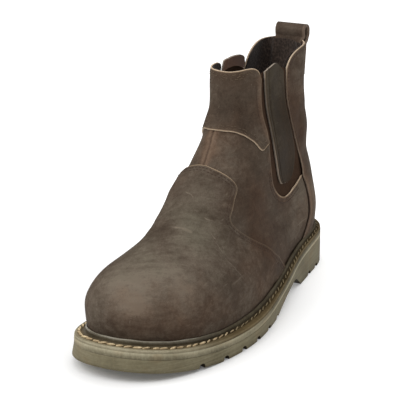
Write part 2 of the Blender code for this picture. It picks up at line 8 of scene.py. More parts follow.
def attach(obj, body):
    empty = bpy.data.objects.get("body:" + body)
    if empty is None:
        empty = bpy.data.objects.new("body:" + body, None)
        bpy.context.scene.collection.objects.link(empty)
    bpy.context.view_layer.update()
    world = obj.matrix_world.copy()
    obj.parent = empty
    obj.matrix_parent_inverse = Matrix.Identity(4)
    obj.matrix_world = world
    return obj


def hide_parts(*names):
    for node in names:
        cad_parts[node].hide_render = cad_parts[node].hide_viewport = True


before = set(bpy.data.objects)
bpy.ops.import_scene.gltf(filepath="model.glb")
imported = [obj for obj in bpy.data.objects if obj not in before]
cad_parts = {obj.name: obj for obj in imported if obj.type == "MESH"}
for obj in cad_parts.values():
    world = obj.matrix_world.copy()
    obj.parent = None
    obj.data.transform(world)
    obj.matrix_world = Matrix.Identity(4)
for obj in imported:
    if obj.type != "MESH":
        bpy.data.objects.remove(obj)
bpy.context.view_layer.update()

# =============================================================== sizes (mm)
# The boot's own tables, in millimetres: x forward from the back of the heel,
# y outward (wearer's left) from the heel's centre line, z up from the floor.
SOLE_LENGTH = 310.0
WALL = 2.4
GAP = 0.3
WELT_THICK = 2.2
WELT_INSET = 0.25
WAIST_OUT = 1.8             # fuller edge of the sole at the outer waist
MIDSOLE_THICK = 5.0
INSOLE_TOP = 2.6
LUG_DEPTH = 3.9
LUG_SLOT = 5.4
LOOP_WIDTH = 28.0
LOOP_THICK = 2.2
LOOP_RISE = 11.6
LOOP_HALF = 4.8
LOOP_MIDDLE = 8.0
LOOP_ASIDE = 3.0
LOOP_DIP = 4.0                         # the bow leaves the wall this far under the rim
LOOP_LEG = 29.0
COLLAR_FRONT = 188.6
LEAN_FROM, LEAN_BACK, LEAN_FRONT = 95.0, 9.0, 15.0
LEVEL_TOP = 11.45

LEATHER = 1.25            # thickness of one leather panel
LAP = 1.4                 # how far a lapped edge stands over the panel below
LAP_REACH = 17.0          # length over which that step runs out

# half width, sideways swing, tread flare on the outer and inner side
SOLE = (
    (0.0, 0.0, 0.0, 0.0),
    (17.8, 0.2, 0.0, 0.0),
    (33.8, 0.5, -0.4, 0.0),
    (40.0, 0.7, -1.2, 0.0),
    (42.3, 1.9, -1.2, 0.0),
    (43.8, 5.6, -1.5, 0.0),
    (49.0, 9.0, -1.8, 0.0),
    (55.2, 6.6, -1.8, 0.4),
    (56.3, 0.6, -1.6, 1.0),
    (51.3, -4.7, -1.0, 1.8),
    (40.2, -7.9, -0.8, 2.6),
    (23.2, -10.6, -0.5, 1.6),
    (0.0, -12.5, 0.0, 0.0),
)
# x, welt top, tread
RISE = np.array((
    (0.0, 33.5, 0.0),
    (40.0, 32.5, 0.0),
    (75.0, 30.5, 0.0),
    (110.0, 26.5, 0.0),
    (150.0, 21.5, 0.0),
    (190.0, 18.0, 0.0),
    (230.0, 17.3, 0.0),
    (246.0, 18.0, 0.0),
    (262.0, 19.5, 1.6),
    (290.0, 24.2, 5.6),
    (310.0, 28.5, 9.7),
))
# x, z of the hollow under the waist
ARCH = ((78.0, -1.0), (88.5, 6.6), (95.0, 11.0), (101.0, 12.6), (115.0, 11.5), (127.0, 9.6),
        (140.0, 5.4), (150.0, 1.8), (158.0, -1.5))
SLOTS_FORE = (153.0, 175.0, 197.0, 218.0, 239.0, 262.5)
SLOTS_HEEL = (21.0, 39.5, 58.0)
# front x, z, y; back x, z, y; half widths outer 1-5, inner 1-5
LEVEL = np.array((
    (293.5, 31.0, -12.0, 9.5, 36.0, 0.0, 31.5, 41.0, 56.0, 58.0, 37.0, 27.7, 30.5, 25.5, 36.0, 33.5),
    (296.5, 42.0, -12.0, 5.5, 48.0, 0.0, 32.5, 41.0, 55.5, 58.5, 39.5, 29.2, 30.2, 25.1, 35.9, 33.9),
    (295.0, 55.0, -11.5, 4.0, 59.0, 0.0, 32.0, 39.6, 50.8, 55.0, 37.7, 29.2, 29.7, 24.6, 33.4, 30.8),
    (284.0, 67.0, -9.5, 4.5, 70.0, 0.0, 29.8, 36.6, 44.3, 47.1, 33.4, 27.9, 28.6, 24.8, 28.0, 25.7),
    (260.5, 76.0, -6.5, 6.1, 80.0, 0.0, 27.6, 34.7, 39.2, 39.9, 26.6, 26.0, 27.4, 25.0, 23.2, 19.1),
    (233.0, 85.5, -3.5, 8.6, 92.0, -0.5, 25.7, 31.8, 36.0, 35.7, 21.3, 24.8, 26.1, 25.1, 22.1, 18.0),
    (206.0, 99.0, -0.5, 11.0, 105.0, -1.0, 23.4, 29.5, 33.3, 32.1, 17.6, 23.1, 26.3, 26.8, 25.1, 20.0),
    (180.0, 118.0, 1.0, 13.3, 120.0, -1.0, 23.0, 27.6, 30.8, 29.5, 15.8, 22.0, 27.4, 28.5, 24.5, 17.9),
    (152.0, 140.0, -2.5, 14.7, 138.0, -1.0, 22.2, 26.4, 28.4, 29.0, 18.6, 20.9, 25.4, 25.4, 20.7, 13.2),
    (131.0, 159.0, -5.5, 15.1, 156.0, -1.5, 20.5, 24.2, 25.0, 27.8, 20.3, 20.9, 23.8, 23.0, 20.1, 13.7),
    (120.5, 175.0, -5.0, 12.0, 175.0, -2.0, 19.8, 22.8, 21.8, 26.0, 19.8, 19.4, 22.4, 22.4, 23.7, 18.0),
    (118.0, 188.5, -5.0, 8.0, 194.0, -2.0, 18.1, 21.7, 19.5, 25.3, 19.3, 17.9, 19.5, 17.5, 22.5, 18.3),
))
# side opening for the elastic: back x, z; front x, z, bottom to top
GORE = np.array((
    (84.5, 80.0, 93.0, 80.8),
    (73.5, 81.8, 101.0, 84.5),
    (62.0, 84.3, 108.0, 91.0),
    (51.5, 87.0, 113.0, 99.0),
    (49.5, 95.0, 115.0, 109.0),
    (51.0, 108.0, 114.5, 121.0),
    (56.0, 120.5, 113.5, 133.0),
    (60.0, 132.5, 112.0, 145.0),
    (62.0, 145.0, 109.5, 158.0),
    (60.8, 158.0, 106.5, 171.0),
    (57.2, 170.0, 104.8, 181.0),
    (54.3, 179.5, 104.0, 187.0),
))
# leather strip over the elastic, with the lift of each row's middle
STRIP = np.array((
    (78.0, 90.6, 90.0, 91.6, -0.3),
    (71.5, 93.0, 97.0, 94.4, -1.5),
    (66.5, 98.5, 101.5, 102.5, -1.5),
    (63.0, 106.5, 104.0, 112.0, -1.0),
    (62.0, 116.0, 105.5, 123.0, 0.0),
    (64.5, 129.0, 105.5, 136.0, 0.5),
    (67.5, 143.0, 104.3, 150.0, 1.5),
    (66.5, 156.0, 103.0, 163.0, 3.0),
    (63.8, 168.0, 102.0, 176.0, 5.0),
    (61.5, 178.5, 101.2, 187.6, 7.0),
))
# top edge of the back panel: x, z
BACK_EDGE = ((6.0, 194.0), (18.0, 193.0), (30.0, 191.8), (41.0, 189.0), (49.0, 184.4))
BACK_EDGE_INNER = ((6.0, 194.0), (18.0, 193.4), (30.0, 192.6), (41.0, 191.0), (48.5, 188.4), (53.0, 184.6))

# Seams of the upper, as section number and station from heel (0) to toe (1).
VAMP_EDGE = ((0.20, .418), (0.60, .440), (1.37, .478), (2.14, .503), (2.65, .528), (3.29, .563),
             (3.94, .605), (4.51, .649), (4.94, .686), (5.25, .708), (5.56, .718), (5.87, .724),
             (6.16, .731), (6.38, .733), (6.57, .741), (6.74, .760), (6.94, .795), (7.10, .837),
             (7.22, .883), (7.30, .929), (7.35, .966))
FRONT_EDGE = ((7.66, .612), (7.58, .634), (7.53, .656), (7.70, .690), (7.89, .724), (8.03, .759),
              (8.15, .793), (8.25, .835), (8.31, .868), (8.34, .926))
BACK_SEAM = ((0.0, .300), (0.25, .291), (0.50, .281), (0.77, .270), (1.27, .260), (2.11, .2555),
             (2.97, .254), (3.69, .264))
# collar of the front panel on the outer side: from the rounded corner to the middle
COLLAR_EDGE = ((104.5, 181.8), (105.1, 185.3), (106.5, 188.8), (108.8, 191.0), (111.6, 191.6),
               (113.6, 191.2), (115.4, 190.4), (116.8, 189.6))


# =============================================================== the last
def spline_at(knots, rows, query):
    """Natural cubic through rows at knots."""
    knots = np.asarray(knots, float)
    rows = np.asarray(rows, float)
    flat = rows.ndim == 1
    if flat:
        rows = rows[:, None]
    query = np.asarray(query, float)
    n = len(knots)
    step = np.diff(knots)
    system = np.eye(n)
    right = np.zeros_like(rows)
    for i in range(1, n - 1):
        system[i, i - 1] = step[i - 1]
        system[i, i] = 2.0 * (step[i - 1] + step[i])
        system[i, i + 1] = step[i]
        right[i] = 6.0 * ((rows[i + 1] - rows[i]) / step[i]
                          - (rows[i] - rows[i - 1]) / step[i - 1])
    bend = np.linalg.solve(system, right)
    i = np.clip(np.searchsorted(knots, query, side="right") - 1, 0, n - 2)
    d = (query - knots[i])[..., None]
    h = step[i][..., None]
    slope = (rows[i + 1] - rows[i]) / h - h * (2.0 * bend[i] + bend[i + 1]) / 6.0
    value = (rows[i] + slope * d + bend[i] / 2.0 * d ** 2
             + (bend[i + 1] - bend[i]) / (6.0 * h) * d ** 3)
    return value[..., 0] if flat else value


def spline(rows, query):
    rows = np.asarray(rows, float)
    return spline_at(np.arange(len(rows), dtype=float), rows, query)


def along(s):
    return (1.0 - np.cos(np.pi * s)) / 2.0


def station_at(x):
    return float(np.arccos(1.0 - 2.0 * x / SOLE_LENGTH) / np.pi)


def welt_top(x):
    return spline_at(RISE[:, 0], RISE[:, 1], np.clip(x, 0.0, SOLE_LENGTH))


def tread(x):
    toe = RISE[:, 0] > 246.0
    knots = np.concatenate([[246.0], RISE[toe, 0]])
    lift = np.concatenate([[0.0], RISE[toe, 2]])
    return np.where(x <= 246.0, 0.0,
                    spline_at(knots, lift, np.clip(x, 246.0, SOLE_LENGTH)).clip(0.0))


def sole_edge(s, side, out=0.0):
    row = spline_at(np.linspace(0.0, 1.0, len(SOLE)), SOLE, s)
    flare = row[..., 2] if side > 0 else row[..., 3]
    half = np.maximum(row[..., 0] + out * flare, 0.0)
    if side > 0:
        half = half + WAIST_OUT * hump(SOLE_LENGTH * along(s) - 117.0, 25.0)
    return np.stack([SOLE_LENGTH * along(s), row[..., 1] + side * half], axis=-1)


def sole_loop(out=0.0, inset=0.0, count=150):
    s = np.linspace(0.0, 1.0, count + 1)
    loop = np.concatenate([sole_edge(s, 1.0, out), sole_edge(s, -1.0, out)[-2:0:-1]])
    if inset:
        forward = np.roll(loop, -1, axis=0) - np.roll(loop, 1, axis=0)
        forward /= np.linalg.norm(forward, axis=1)[:, None]
        loop = loop + inset * np.stack([forward[:, 1], -forward[:, 0]], axis=1)
    return loop


def base_point(q, t):
    """Leather face at way-round q (0 heel, 1 toe, over the outer side; 2 heel again) and section t."""
    q, t = np.broadcast_arrays(np.asarray(q, float), np.asarray(t, float))
    turn = np.mod(q, 2.0)
    outer = turn <= 1.0
    s = np.where(outer, turn, 2.0 - turn)
    side = np.where(outer, 1.0, -1.0)
    row = spline(LEVEL, t)
    k = along(s)
    front_x, front_z, front_y, back_x, back_z, back_y = (row[..., i] for i in range(6))
    widths = np.where(outer[..., None], row[..., 6:11], row[..., 11:16])
    share = spline_at(np.arange(7) / 6.0, np.eye(7), s)
    half = (widths * share[..., 1:6]).sum(axis=-1)
    x = back_x + (front_x - back_x) * k
    z = back_z + (front_z - back_z) * k
    low = np.clip(1.0 - t / 2.0, 0.0, 1.0) * np.clip(1.0 - t, 0.0, 1.0)
    z = z + low * (welt_top(x) + GAP - z)
    y = back_y + (front_y - back_y) * k + side * half
    return np.stack([x, y, z], axis=-1)


def base_slopes(q, t):
    hq, ht = 0.004, 0.02
    return ((base_point(q + hq, t) - base_point(q - hq, t)) / (2 * hq),
            (base_point(q, t + ht) - base_point(q, t - ht)) / (2 * ht))


def base_normal(q, t):
    dq, dt = base_slopes(q, t)
    n = np.cross(dt, dq)
    return n / np.maximum(np.linalg.norm(n, axis=-1), 1e-9)[..., None]


def hump(d, width):
    return np.exp(-(d / width) ** 2)


def smooth(v):
    v = np.clip(v, 0.0, 1.0)
    return v * v * (3.0 - 2.0 * v)


# Creases and soft dents: a line between two points on the leather, how far it
# stands out (+) or sinks (-), and its half width.
CREASE = (
    # x0, y0, z0, x1, y1, z1, depth, width
    (196.0, -22.0, 96.0, 206.0, 22.0, 96.0, -0.5, 9.0),
    (230.0, -16.0, 85.0, 217.0, -2.0, 92.0, -1.3, 5.0),
    (222.0, -20.0, 88.0, 212.0, -4.0, 95.0, 0.9, 4.5),
    (206.0, -24.0, 92.0, 216.0, 26.0, 90.0, 0.4, 6.0),
    (198.0, 10.0, 99.0, 196.0, 24.0, 92.0, -0.5, 3.2),
    (205.0, 24.0, 87.0, 206.0, 38.0, 72.0, -0.6, 3.6),
    (214.0, 28.0, 81.0, 207.0, 45.0, 62.0, 0.5, 4.6),
    (150.0, 28.0, 96.0, 176.0, 30.0, 74.0, -0.7, 6.0),
    (150.0, -28.0, 96.0, 176.0, -30.0, 74.0, -0.7, 6.0),
    (152.0, -16.0, 143.0, 149.0, -6.0, 142.0, 1.5, 3.4),
    (160.0, -18.0, 137.0, 155.0, -6.0, 137.0, -0.9, 3.0),
    (164.0, -16.0, 132.0, 160.0, -5.0, 133.0, 0.7, 3.0),
    (144.0, 14.0, 150.0, 128.0, 27.0, 141.0, -0.8, 5.0),
    (132.0, 20.0, 168.0, 122.0, 26.0, 150.0, -0.7, 5.0),
    (121.0, 4.0, 178.0, 131.0, 8.0, 157.0, 0.6, 3.6),
    (119.0, 11.0, 177.0, 126.0, 15.0, 158.0, -0.6, 3.6),
    (125.0, -4.0, 172.0, 138.0, -3.0, 154.0, -0.5, 4.2),
    (20.0, 16.0, 140.0, 44.0, 25.0, 136.0, -1.0, 5.5),
    (18.0, 14.0, 126.0, 40.0, 26.0, 120.0, 0.7, 5.5),
    (20.0, -16.0, 140.0, 44.0, -26.0, 136.0, -1.0, 5.5),
    (26.0, 18.0, 104.0, 44.0, 30.0, 100.0, -0.7, 6.0),
    (122.0, 36.0, 70.0, 96.0, 36.0, 62.0, -0.5, 7.0),
    (186.0, 43.0, 62.0, 150.0, 47.0, 52.0, 0.4, 6.0),
    (143.0, -18.0, 137.0, 160.0, -20.0, 122.0, -0.9, 9.0),
    (169.0, -21.0, 113.0, 180.0, -22.0, 105.0, 1.2, 7.0),
)


def relief(p):
    """How far the worn leather stands off the last, at points of the last."""
    out = np.zeros(p.shape[:-1])
    for x0, y0, z0, x1, y1, z1, depth, width in CREASE:
        a, b = np.array((x0, y0, z0)), np.array((x1, y1, z1))
        way = b - a
        k = np.clip(((p - a) @ way) / (way @ way), 0.0, 1.0)
        far = np.linalg.norm(p - a - k[..., None] * way, axis=-1)
        out += depth * hump(far, width)
    x, y, z = p[..., 0], p[..., 1], p[..., 2]
    low = smooth((z - 38.0) / 12.0)
    wave = (0.30 * np.sin(x / 17.0 + y / 23.0) * np.sin(z / 19.0 + y / 31.0 + 0.7)
            + 0.16 * np.sin(x / 8.3 - z / 11.0 + 1.1) * np.sin(y / 9.7 + z / 13.0))
    return out + wave * low


def skin(q, t, offset=0.0):
    p = base_point(q, t)
    n = base_normal(q, t)
    return p + n * (relief(p) + offset)[..., None] if np.ndim(offset) else p + n * (relief(p)[..., None] + offset)


def side_uv(x, z, side):
    """Way-round and section of a point of one side given by x and z."""
    x = np.asarray(x, float)
    z = np.asarray(z, float)
    t = np.interp(z, (LEVEL[:, 1] + LEVEL[:, 4]) / 2.0, np.arange(len(LEVEL)))

    def height(t):
        row = spline(LEVEL, t)
        k = np.clip((x - row[..., 3]) / (row[..., 0] - row[..., 3]), 0.0, 1.0)
        return row[..., 4] + (row[..., 1] - row[..., 4]) * k, k

    for _ in range(25):
        now, k = height(t)
        then, _k = height(t + 0.02)
        t = t + np.clip((z - now) / ((then - now) / 0.02), -0.5, 0.5)
    now, k = height(t)
    s = np.arccos(1.0 - 2.0 * k) / np.pi
    return np.stack([s if side > 0 else 2.0 - s, t], axis=-1)


def leaned(table, side):
    """Rows of a table of edges: the inner side's lean back toward the collar."""
    rows = np.array(table, float)
    if side < 0.0:
        for across, up, most in ((0, 1, LEAN_BACK), (2, 3, LEAN_FRONT)):
            rows[:, across] -= most * smooth((rows[:, up] - LEAN_FROM) / (COLLAR_FRONT - LEAN_FROM))
    return rows


# =============================================================== curves on the leather
def lengths(curve):
    p = base_point(curve[:, 0], curve[:, 1])
    return np.concatenate([[0.0], np.cumsum(np.linalg.norm(np.diff(p, axis=0), axis=1))])


def drawn(points, count, rounded=True):
    """Even points along a curve of (q, t) through the given points."""
    points = np.asarray(points, float)
    run = lengths(points)
    fine = np.linspace(0.0, run[-1], max(600, count * 3))
    if rounded and len(points) > 2:
        curve = spline_at(run, points, fine)
    else:
        curve = np.stack([np.interp(fine, run, points[:, i]) for i in range(2)], axis=1)
    run = lengths(curve)
    even = np.linspace(0.0, run[-1], count)
    return np.stack([np.interp(even, run, curve[:, i]) for i in range(2)], axis=1)


def resampled(curve, count):
    return drawn(curve, count, False)


def shifted(curve, way):
    """Curve moved sideways over the leather by way mm: positive to its left seen from outside."""
    q, t = curve[:, 0], curve[:, 1]
    p = base_point(q, t)
    tangent = np.gradient(p, axis=0)
    tangent /= np.linalg.norm(tangent, axis=1)[:, None]
    normal = base_normal(q, t)
    left = np.cross(normal, tangent)
    dq, dt = base_slopes(q, t)
    a, b, c = (dq * dq).sum(1), (dq * dt).sum(1), (dt * dt).sum(1)
    u, v = (left * dq).sum(1), (left * dt).sum(1)
    det = a * c - b * b
    move = np.stack([(u * c - v * b) / det, (a * v - b * u) / det], axis=1)
    return curve + move * np.asarray(way)[..., None] if np.ndim(way) else curve + move * way


def side_curve(rows):
    """(t, s) rows of the outer side as (q, t)."""
    return np.array([(s, t) for t, s in rows])


def mirrored(curve):
    out = np.asarray(curve, float).copy()
    out[:, 0] = 2.0 - out[:, 0]
    return out


def coons(low, high, left, right):
    u = np.linspace(0.0, 1.0, len(low))[None, :, None]
    v = np.linspace(0.0, 1.0, len(left))[:, None, None]
    flat = ((1 - u) * (1 - v) * low[0] + u * (1 - v) * low[-1]
            + (1 - u) * v * high[0] + u * v * high[-1])
    return ((1 - v) * low[None] + v * high[None]
            + (1 - u) * left[:, None] + u * right[:, None] - flat)


def distance(points, line):
    """Distance of points to the nearest point of a dense line."""
    flat = points.reshape(-1, 3)
    out = np.empty(len(flat))
    for i in range(0, len(flat), 4000):
        d = flat[i:i + 4000, None, :] - line[None]
        out[i:i + 4000] = np.sqrt((d * d).sum(-1)).min(1)
    return out.reshape(points.shape[:-1])


# =============================================================== meshes
MIDDLE_Y = (sole_loop(0.0, 0.0, 40)[:, 1].max() + sole_loop(1.0, 0.0, 40)[:, 1].min()) / 2.0
ORIGIN = np.array([SOLE_LENGTH / 2.0, MIDDLE_Y, 0.0])
made = {}


def piece(name, verts, faces, skins, which=None, values=None, sharp=None, node=None):
    """A mesh of the boot in millimetres, riding on the boot, with its materials."""
    mesh = bpy.data.meshes.new(name)
    points = (np.asarray(verts, float) - ORIGIN) * 0.001
    mesh.from_pydata(points.tolist(), [], faces)
    for s in skins:
        mesh.materials.append(s)
    if which is not None:
        mesh.polygons.foreach_set("material_index", np.asarray(which, np.int32))
    for key, data in (values or {}).items():
        layer = mesh.attributes.new(key, "FLOAT", "POINT")
        layer.data.foreach_set("value", np.asarray(data, np.float32).ravel())
    mesh.polygons.foreach_set("use_smooth", np.ones(len(mesh.polygons), bool))
    work = bmesh.new()
    work.from_mesh(mesh)
    bmesh.ops.recalc_face_normals(work, faces=work.faces[:])
    work.to_mesh(mesh)
    work.free()
    if sharp is not None:
        mesh.set_sharp_from_angle(angle=math.radians(sharp))
    mesh.update()
    obj = bpy.data.objects.new(name, mesh)
    bpy.context.scene.collection.objects.link(obj)
    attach(obj, "root")
    for n in ([node] if isinstance(node, str) else node or []):
        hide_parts(n)
    made[name] = obj
    return obj


def quads(rows, cols, start, wrap):
    r, c = np.meshgrid(np.arange(rows - 1), np.arange(cols if wrap else cols - 1), indexing="ij")
    d = (c + 1) % cols
    return np.stack([start + r * cols + c, start + r * cols + d,
                     start + (r + 1) * cols + d, start + (r + 1) * cols + c], -1).reshape(-1, 4)


def rim_of(rows, cols):
    return np.array([c for c in range(cols)]
                    + [r * cols + cols - 1 for r in range(1, rows)]
                    + [(rows - 1) * cols + c for c in range(cols - 2, -1, -1)]
                    + [r * cols for r in range(rows - 2, 0, -1)])


def slab(outer, normal, thick, bulge=0.2, curl=0.28):
    """Closed panel from a grid of outer points: (verts, faces, material index, source of each vertex).

    Material 0 is the face, 1 the cut edge and 2 the flesh side."""
    rows, cols = outer.shape[:2]
    n = rows * cols
    flat, nrm = outer.reshape(-1, 3), normal.reshape(-1, 3)
    thick = np.broadcast_to(np.asarray(thick, float), (rows, cols)).reshape(-1, 1)
    inner = flat - nrm * thick
    rim = rim_of(rows, cols)
    p = flat[rim]
    tangent = np.roll(p, -1, axis=0) - np.roll(p, 1, axis=0)
    tangent /= np.maximum(np.linalg.norm(tangent, axis=1), 1e-9)[:, None]
    away = np.cross(tangent, nrm[rim])
    near = outer[np.clip(rim // cols, 1, rows - 2), np.clip(rim % cols, 1, cols - 2)]
    flip = np.sign(((p - near) * away).sum(1))
    flip[flip == 0] = 1.0
    away = away * flip[:, None]
    first = p + away * bulge - nrm[rim] * curl
    second = p + away * bulge - nrm[rim] * (thick[rim] - curl)
    verts = np.concatenate([flat, inner, first, second])
    m = len(rim)
    a = np.arange(m)
    b = (a + 1) % m
    faces = [quads(rows, cols, 0, False), quads(rows, cols, n, False)[:, ::-1],
             np.stack([rim[a], rim[b], 2 * n + b, 2 * n + a], 1),
             np.stack([2 * n + a, 2 * n + b, 2 * n + m + b, 2 * n + m + a], 1),
             np.stack([2 * n + m + a, 2 * n + m + b, n + rim[b], n + rim[a]], 1)]
    which = np.concatenate([np.zeros(len(faces[0])), np.full(len(faces[1]), 2), np.full(3 * m, 1)])
    source = np.concatenate([np.arange(n), np.arange(n), rim, rim])
    return verts, np.concatenate(faces).tolist(), which.astype(int), source


# =============================================================== materials
class Nodes:
    """Short way to write a node material."""

    def __init__(self, name):
        self.mat = bpy.data.materials.new(name)
        self.mat.use_nodes = True
        self.tree = self.mat.node_tree
        self.shader = self.tree.nodes["Principled BSDF"]

    def add(self, kind, **sets):
        node = self.tree.nodes.new(kind)
        for key, value in sets.items():
            setattr(node, key, value)
        return node

    def feed(self, socket, value):
        if isinstance(value, bpy.types.NodeSocket):
            self.tree.links.new(value, socket)
        else:
            socket.default_value = value

    def place(self):
        return self.add("ShaderNodeTexCoord").outputs["Object"]

    def scaled(self, vector, scale, turn=(0.0, 0.0, 0.0)):
        node = self.add("ShaderNodeMapping")
        self.feed(node.inputs["Vector"], vector)
        node.inputs["Scale"].default_value = scale
        node.inputs["Rotation"].default_value = turn
        return node.outputs["Vector"]

    def noise(self, vector, scale, detail=3.0, rough=0.55, twist=0.0):
        node = self.add("ShaderNodeTexNoise")
        self.feed(node.inputs["Vector"], vector)
        node.inputs["Scale"].default_value = scale
        node.inputs["Detail"].default_value = detail
        node.inputs["Roughness"].default_value = rough
        node.inputs["Distortion"].default_value = twist
        return node.outputs["Fac"]

    def cells(self, vector, scale, feature="F1", out="Distance"):
        node = self.add("ShaderNodeTexVoronoi", feature=feature)
        self.feed(node.inputs["Vector"], vector)
        node.inputs["Scale"].default_value = scale
        return node.outputs[out]

    def attribute(self, name):
        return self.add("ShaderNodeAttribute", attribute_name=name).outputs["Fac"]

    def math(self, op, a, b=0.0, c=0.0, clamp=False):
        node = self.add("ShaderNodeMath", operation=op, use_clamp=clamp)
        for socket, value in zip(node.inputs, (a, b, c)):
            self.feed(socket, value)
        return node.outputs[0]

    def span(self, value, low, high, to_low=0.0, to_high=1.0, soft=False):
        node = self.add("ShaderNodeMapRange")
        if soft:
            node.interpolation_type = "SMOOTHSTEP"
        for key, v in (("Value", value), ("From Min", low), ("From Max", high),
                       ("To Min", to_low), ("To Max", to_high)):
            self.feed(node.inputs[key], v)
        return node.outputs["Result"]

    def mix(self, share, a, b, blend="MIX"):
        node = self.add("ShaderNodeMix", data_type="RGBA", blend_type=blend)
        self.feed(node.inputs["Factor"], share)
        self.feed(node.inputs[6], a)
        self.feed(node.inputs[7], b)
        return node.outputs[2]

    def vector(self, op, a, b=None, scale=None, out="Vector"):
        node = self.add("ShaderNodeVectorMath", operation=op)
        self.feed(node.inputs[0], a)
        if b is not None:
            self.feed(node.inputs[1], b)
        if scale is not None:
            self.feed(node.inputs["Scale"], scale)
        return node.outputs[out]

    def wavering(self, at, scale, amount):
        """Places moved about a little, so that lines drawn on them are not ruled."""
        node = self.add("ShaderNodeTexNoise")
        self.feed(node.inputs["Vector"], at)
        node.inputs["Scale"].default_value = scale
        node.inputs["Detail"].default_value = 2.0
        moved = self.vector("SUBTRACT", node.outputs["Color"], (0.5, 0.5, 0.5))
        return self.vector("ADD", at, self.vector("SCALE", moved, scale=amount))

    def stroke(self, at, a, b, width):
        """1 on the line from a to b (mm on the boot), falling to 0 at its width."""
        a = (np.asarray(a, float) - ORIGIN) * 0.001
        b = (np.asarray(b, float) - ORIGIN) * 0.001
        way = b - a
        rel = self.vector("SUBTRACT", at, tuple(a))
        k = self.vector("DOT_PRODUCT", rel, tuple(way / (way @ way)), out="Value")
        k = self.math("ADD", k, 0.0, clamp=True)
        foot = self.add("ShaderNodeVectorMath", operation="SCALE")
        foot.inputs[0].default_value = tuple(way)
        self.feed(foot.inputs["Scale"], k)
        far = self.vector("LENGTH", self.vector("SUBTRACT", rel, foot.outputs["Vector"]), out="Value")
        return self.span(far, width * 0.0003, width * 0.001, 1.0, 0.0, True)

    def ramp(self, value, stops):
        node = self.add("ShaderNodeValToRGB")
        self.feed(node.inputs["Fac"], value)
        line = node.color_ramp
        while len(line.elements) < len(stops):
            line.elements.new(0.5)
        for element, (at, colour) in zip(line.elements, stops):
            element.position = at
            element.color = (*colour, 1.0)
        return node.outputs["Color"]

    def bump(self, height, strength, reach, under=None):
        node = self.add("ShaderNodeBump")
        self.feed(node.inputs["Height"], height)
        node.inputs["Strength"].default_value = strength
        node.inputs["Distance"].default_value = reach
        if under is not None:
            self.feed(node.inputs["Normal"], under)
        return node.outputs["Normal"]

    def finish(self, colour, rough, normal=None, **constant):
        self.feed(self.shader.inputs["Base Color"], colour)
        self.feed(self.shader.inputs["Roughness"], rough)
        if normal is not None:
            self.feed(self.shader.inputs["Normal"], normal)
        for key, value in constant.items():
            self.shader.inputs[key.replace("_", " ")].default_value = value
        return self.mat


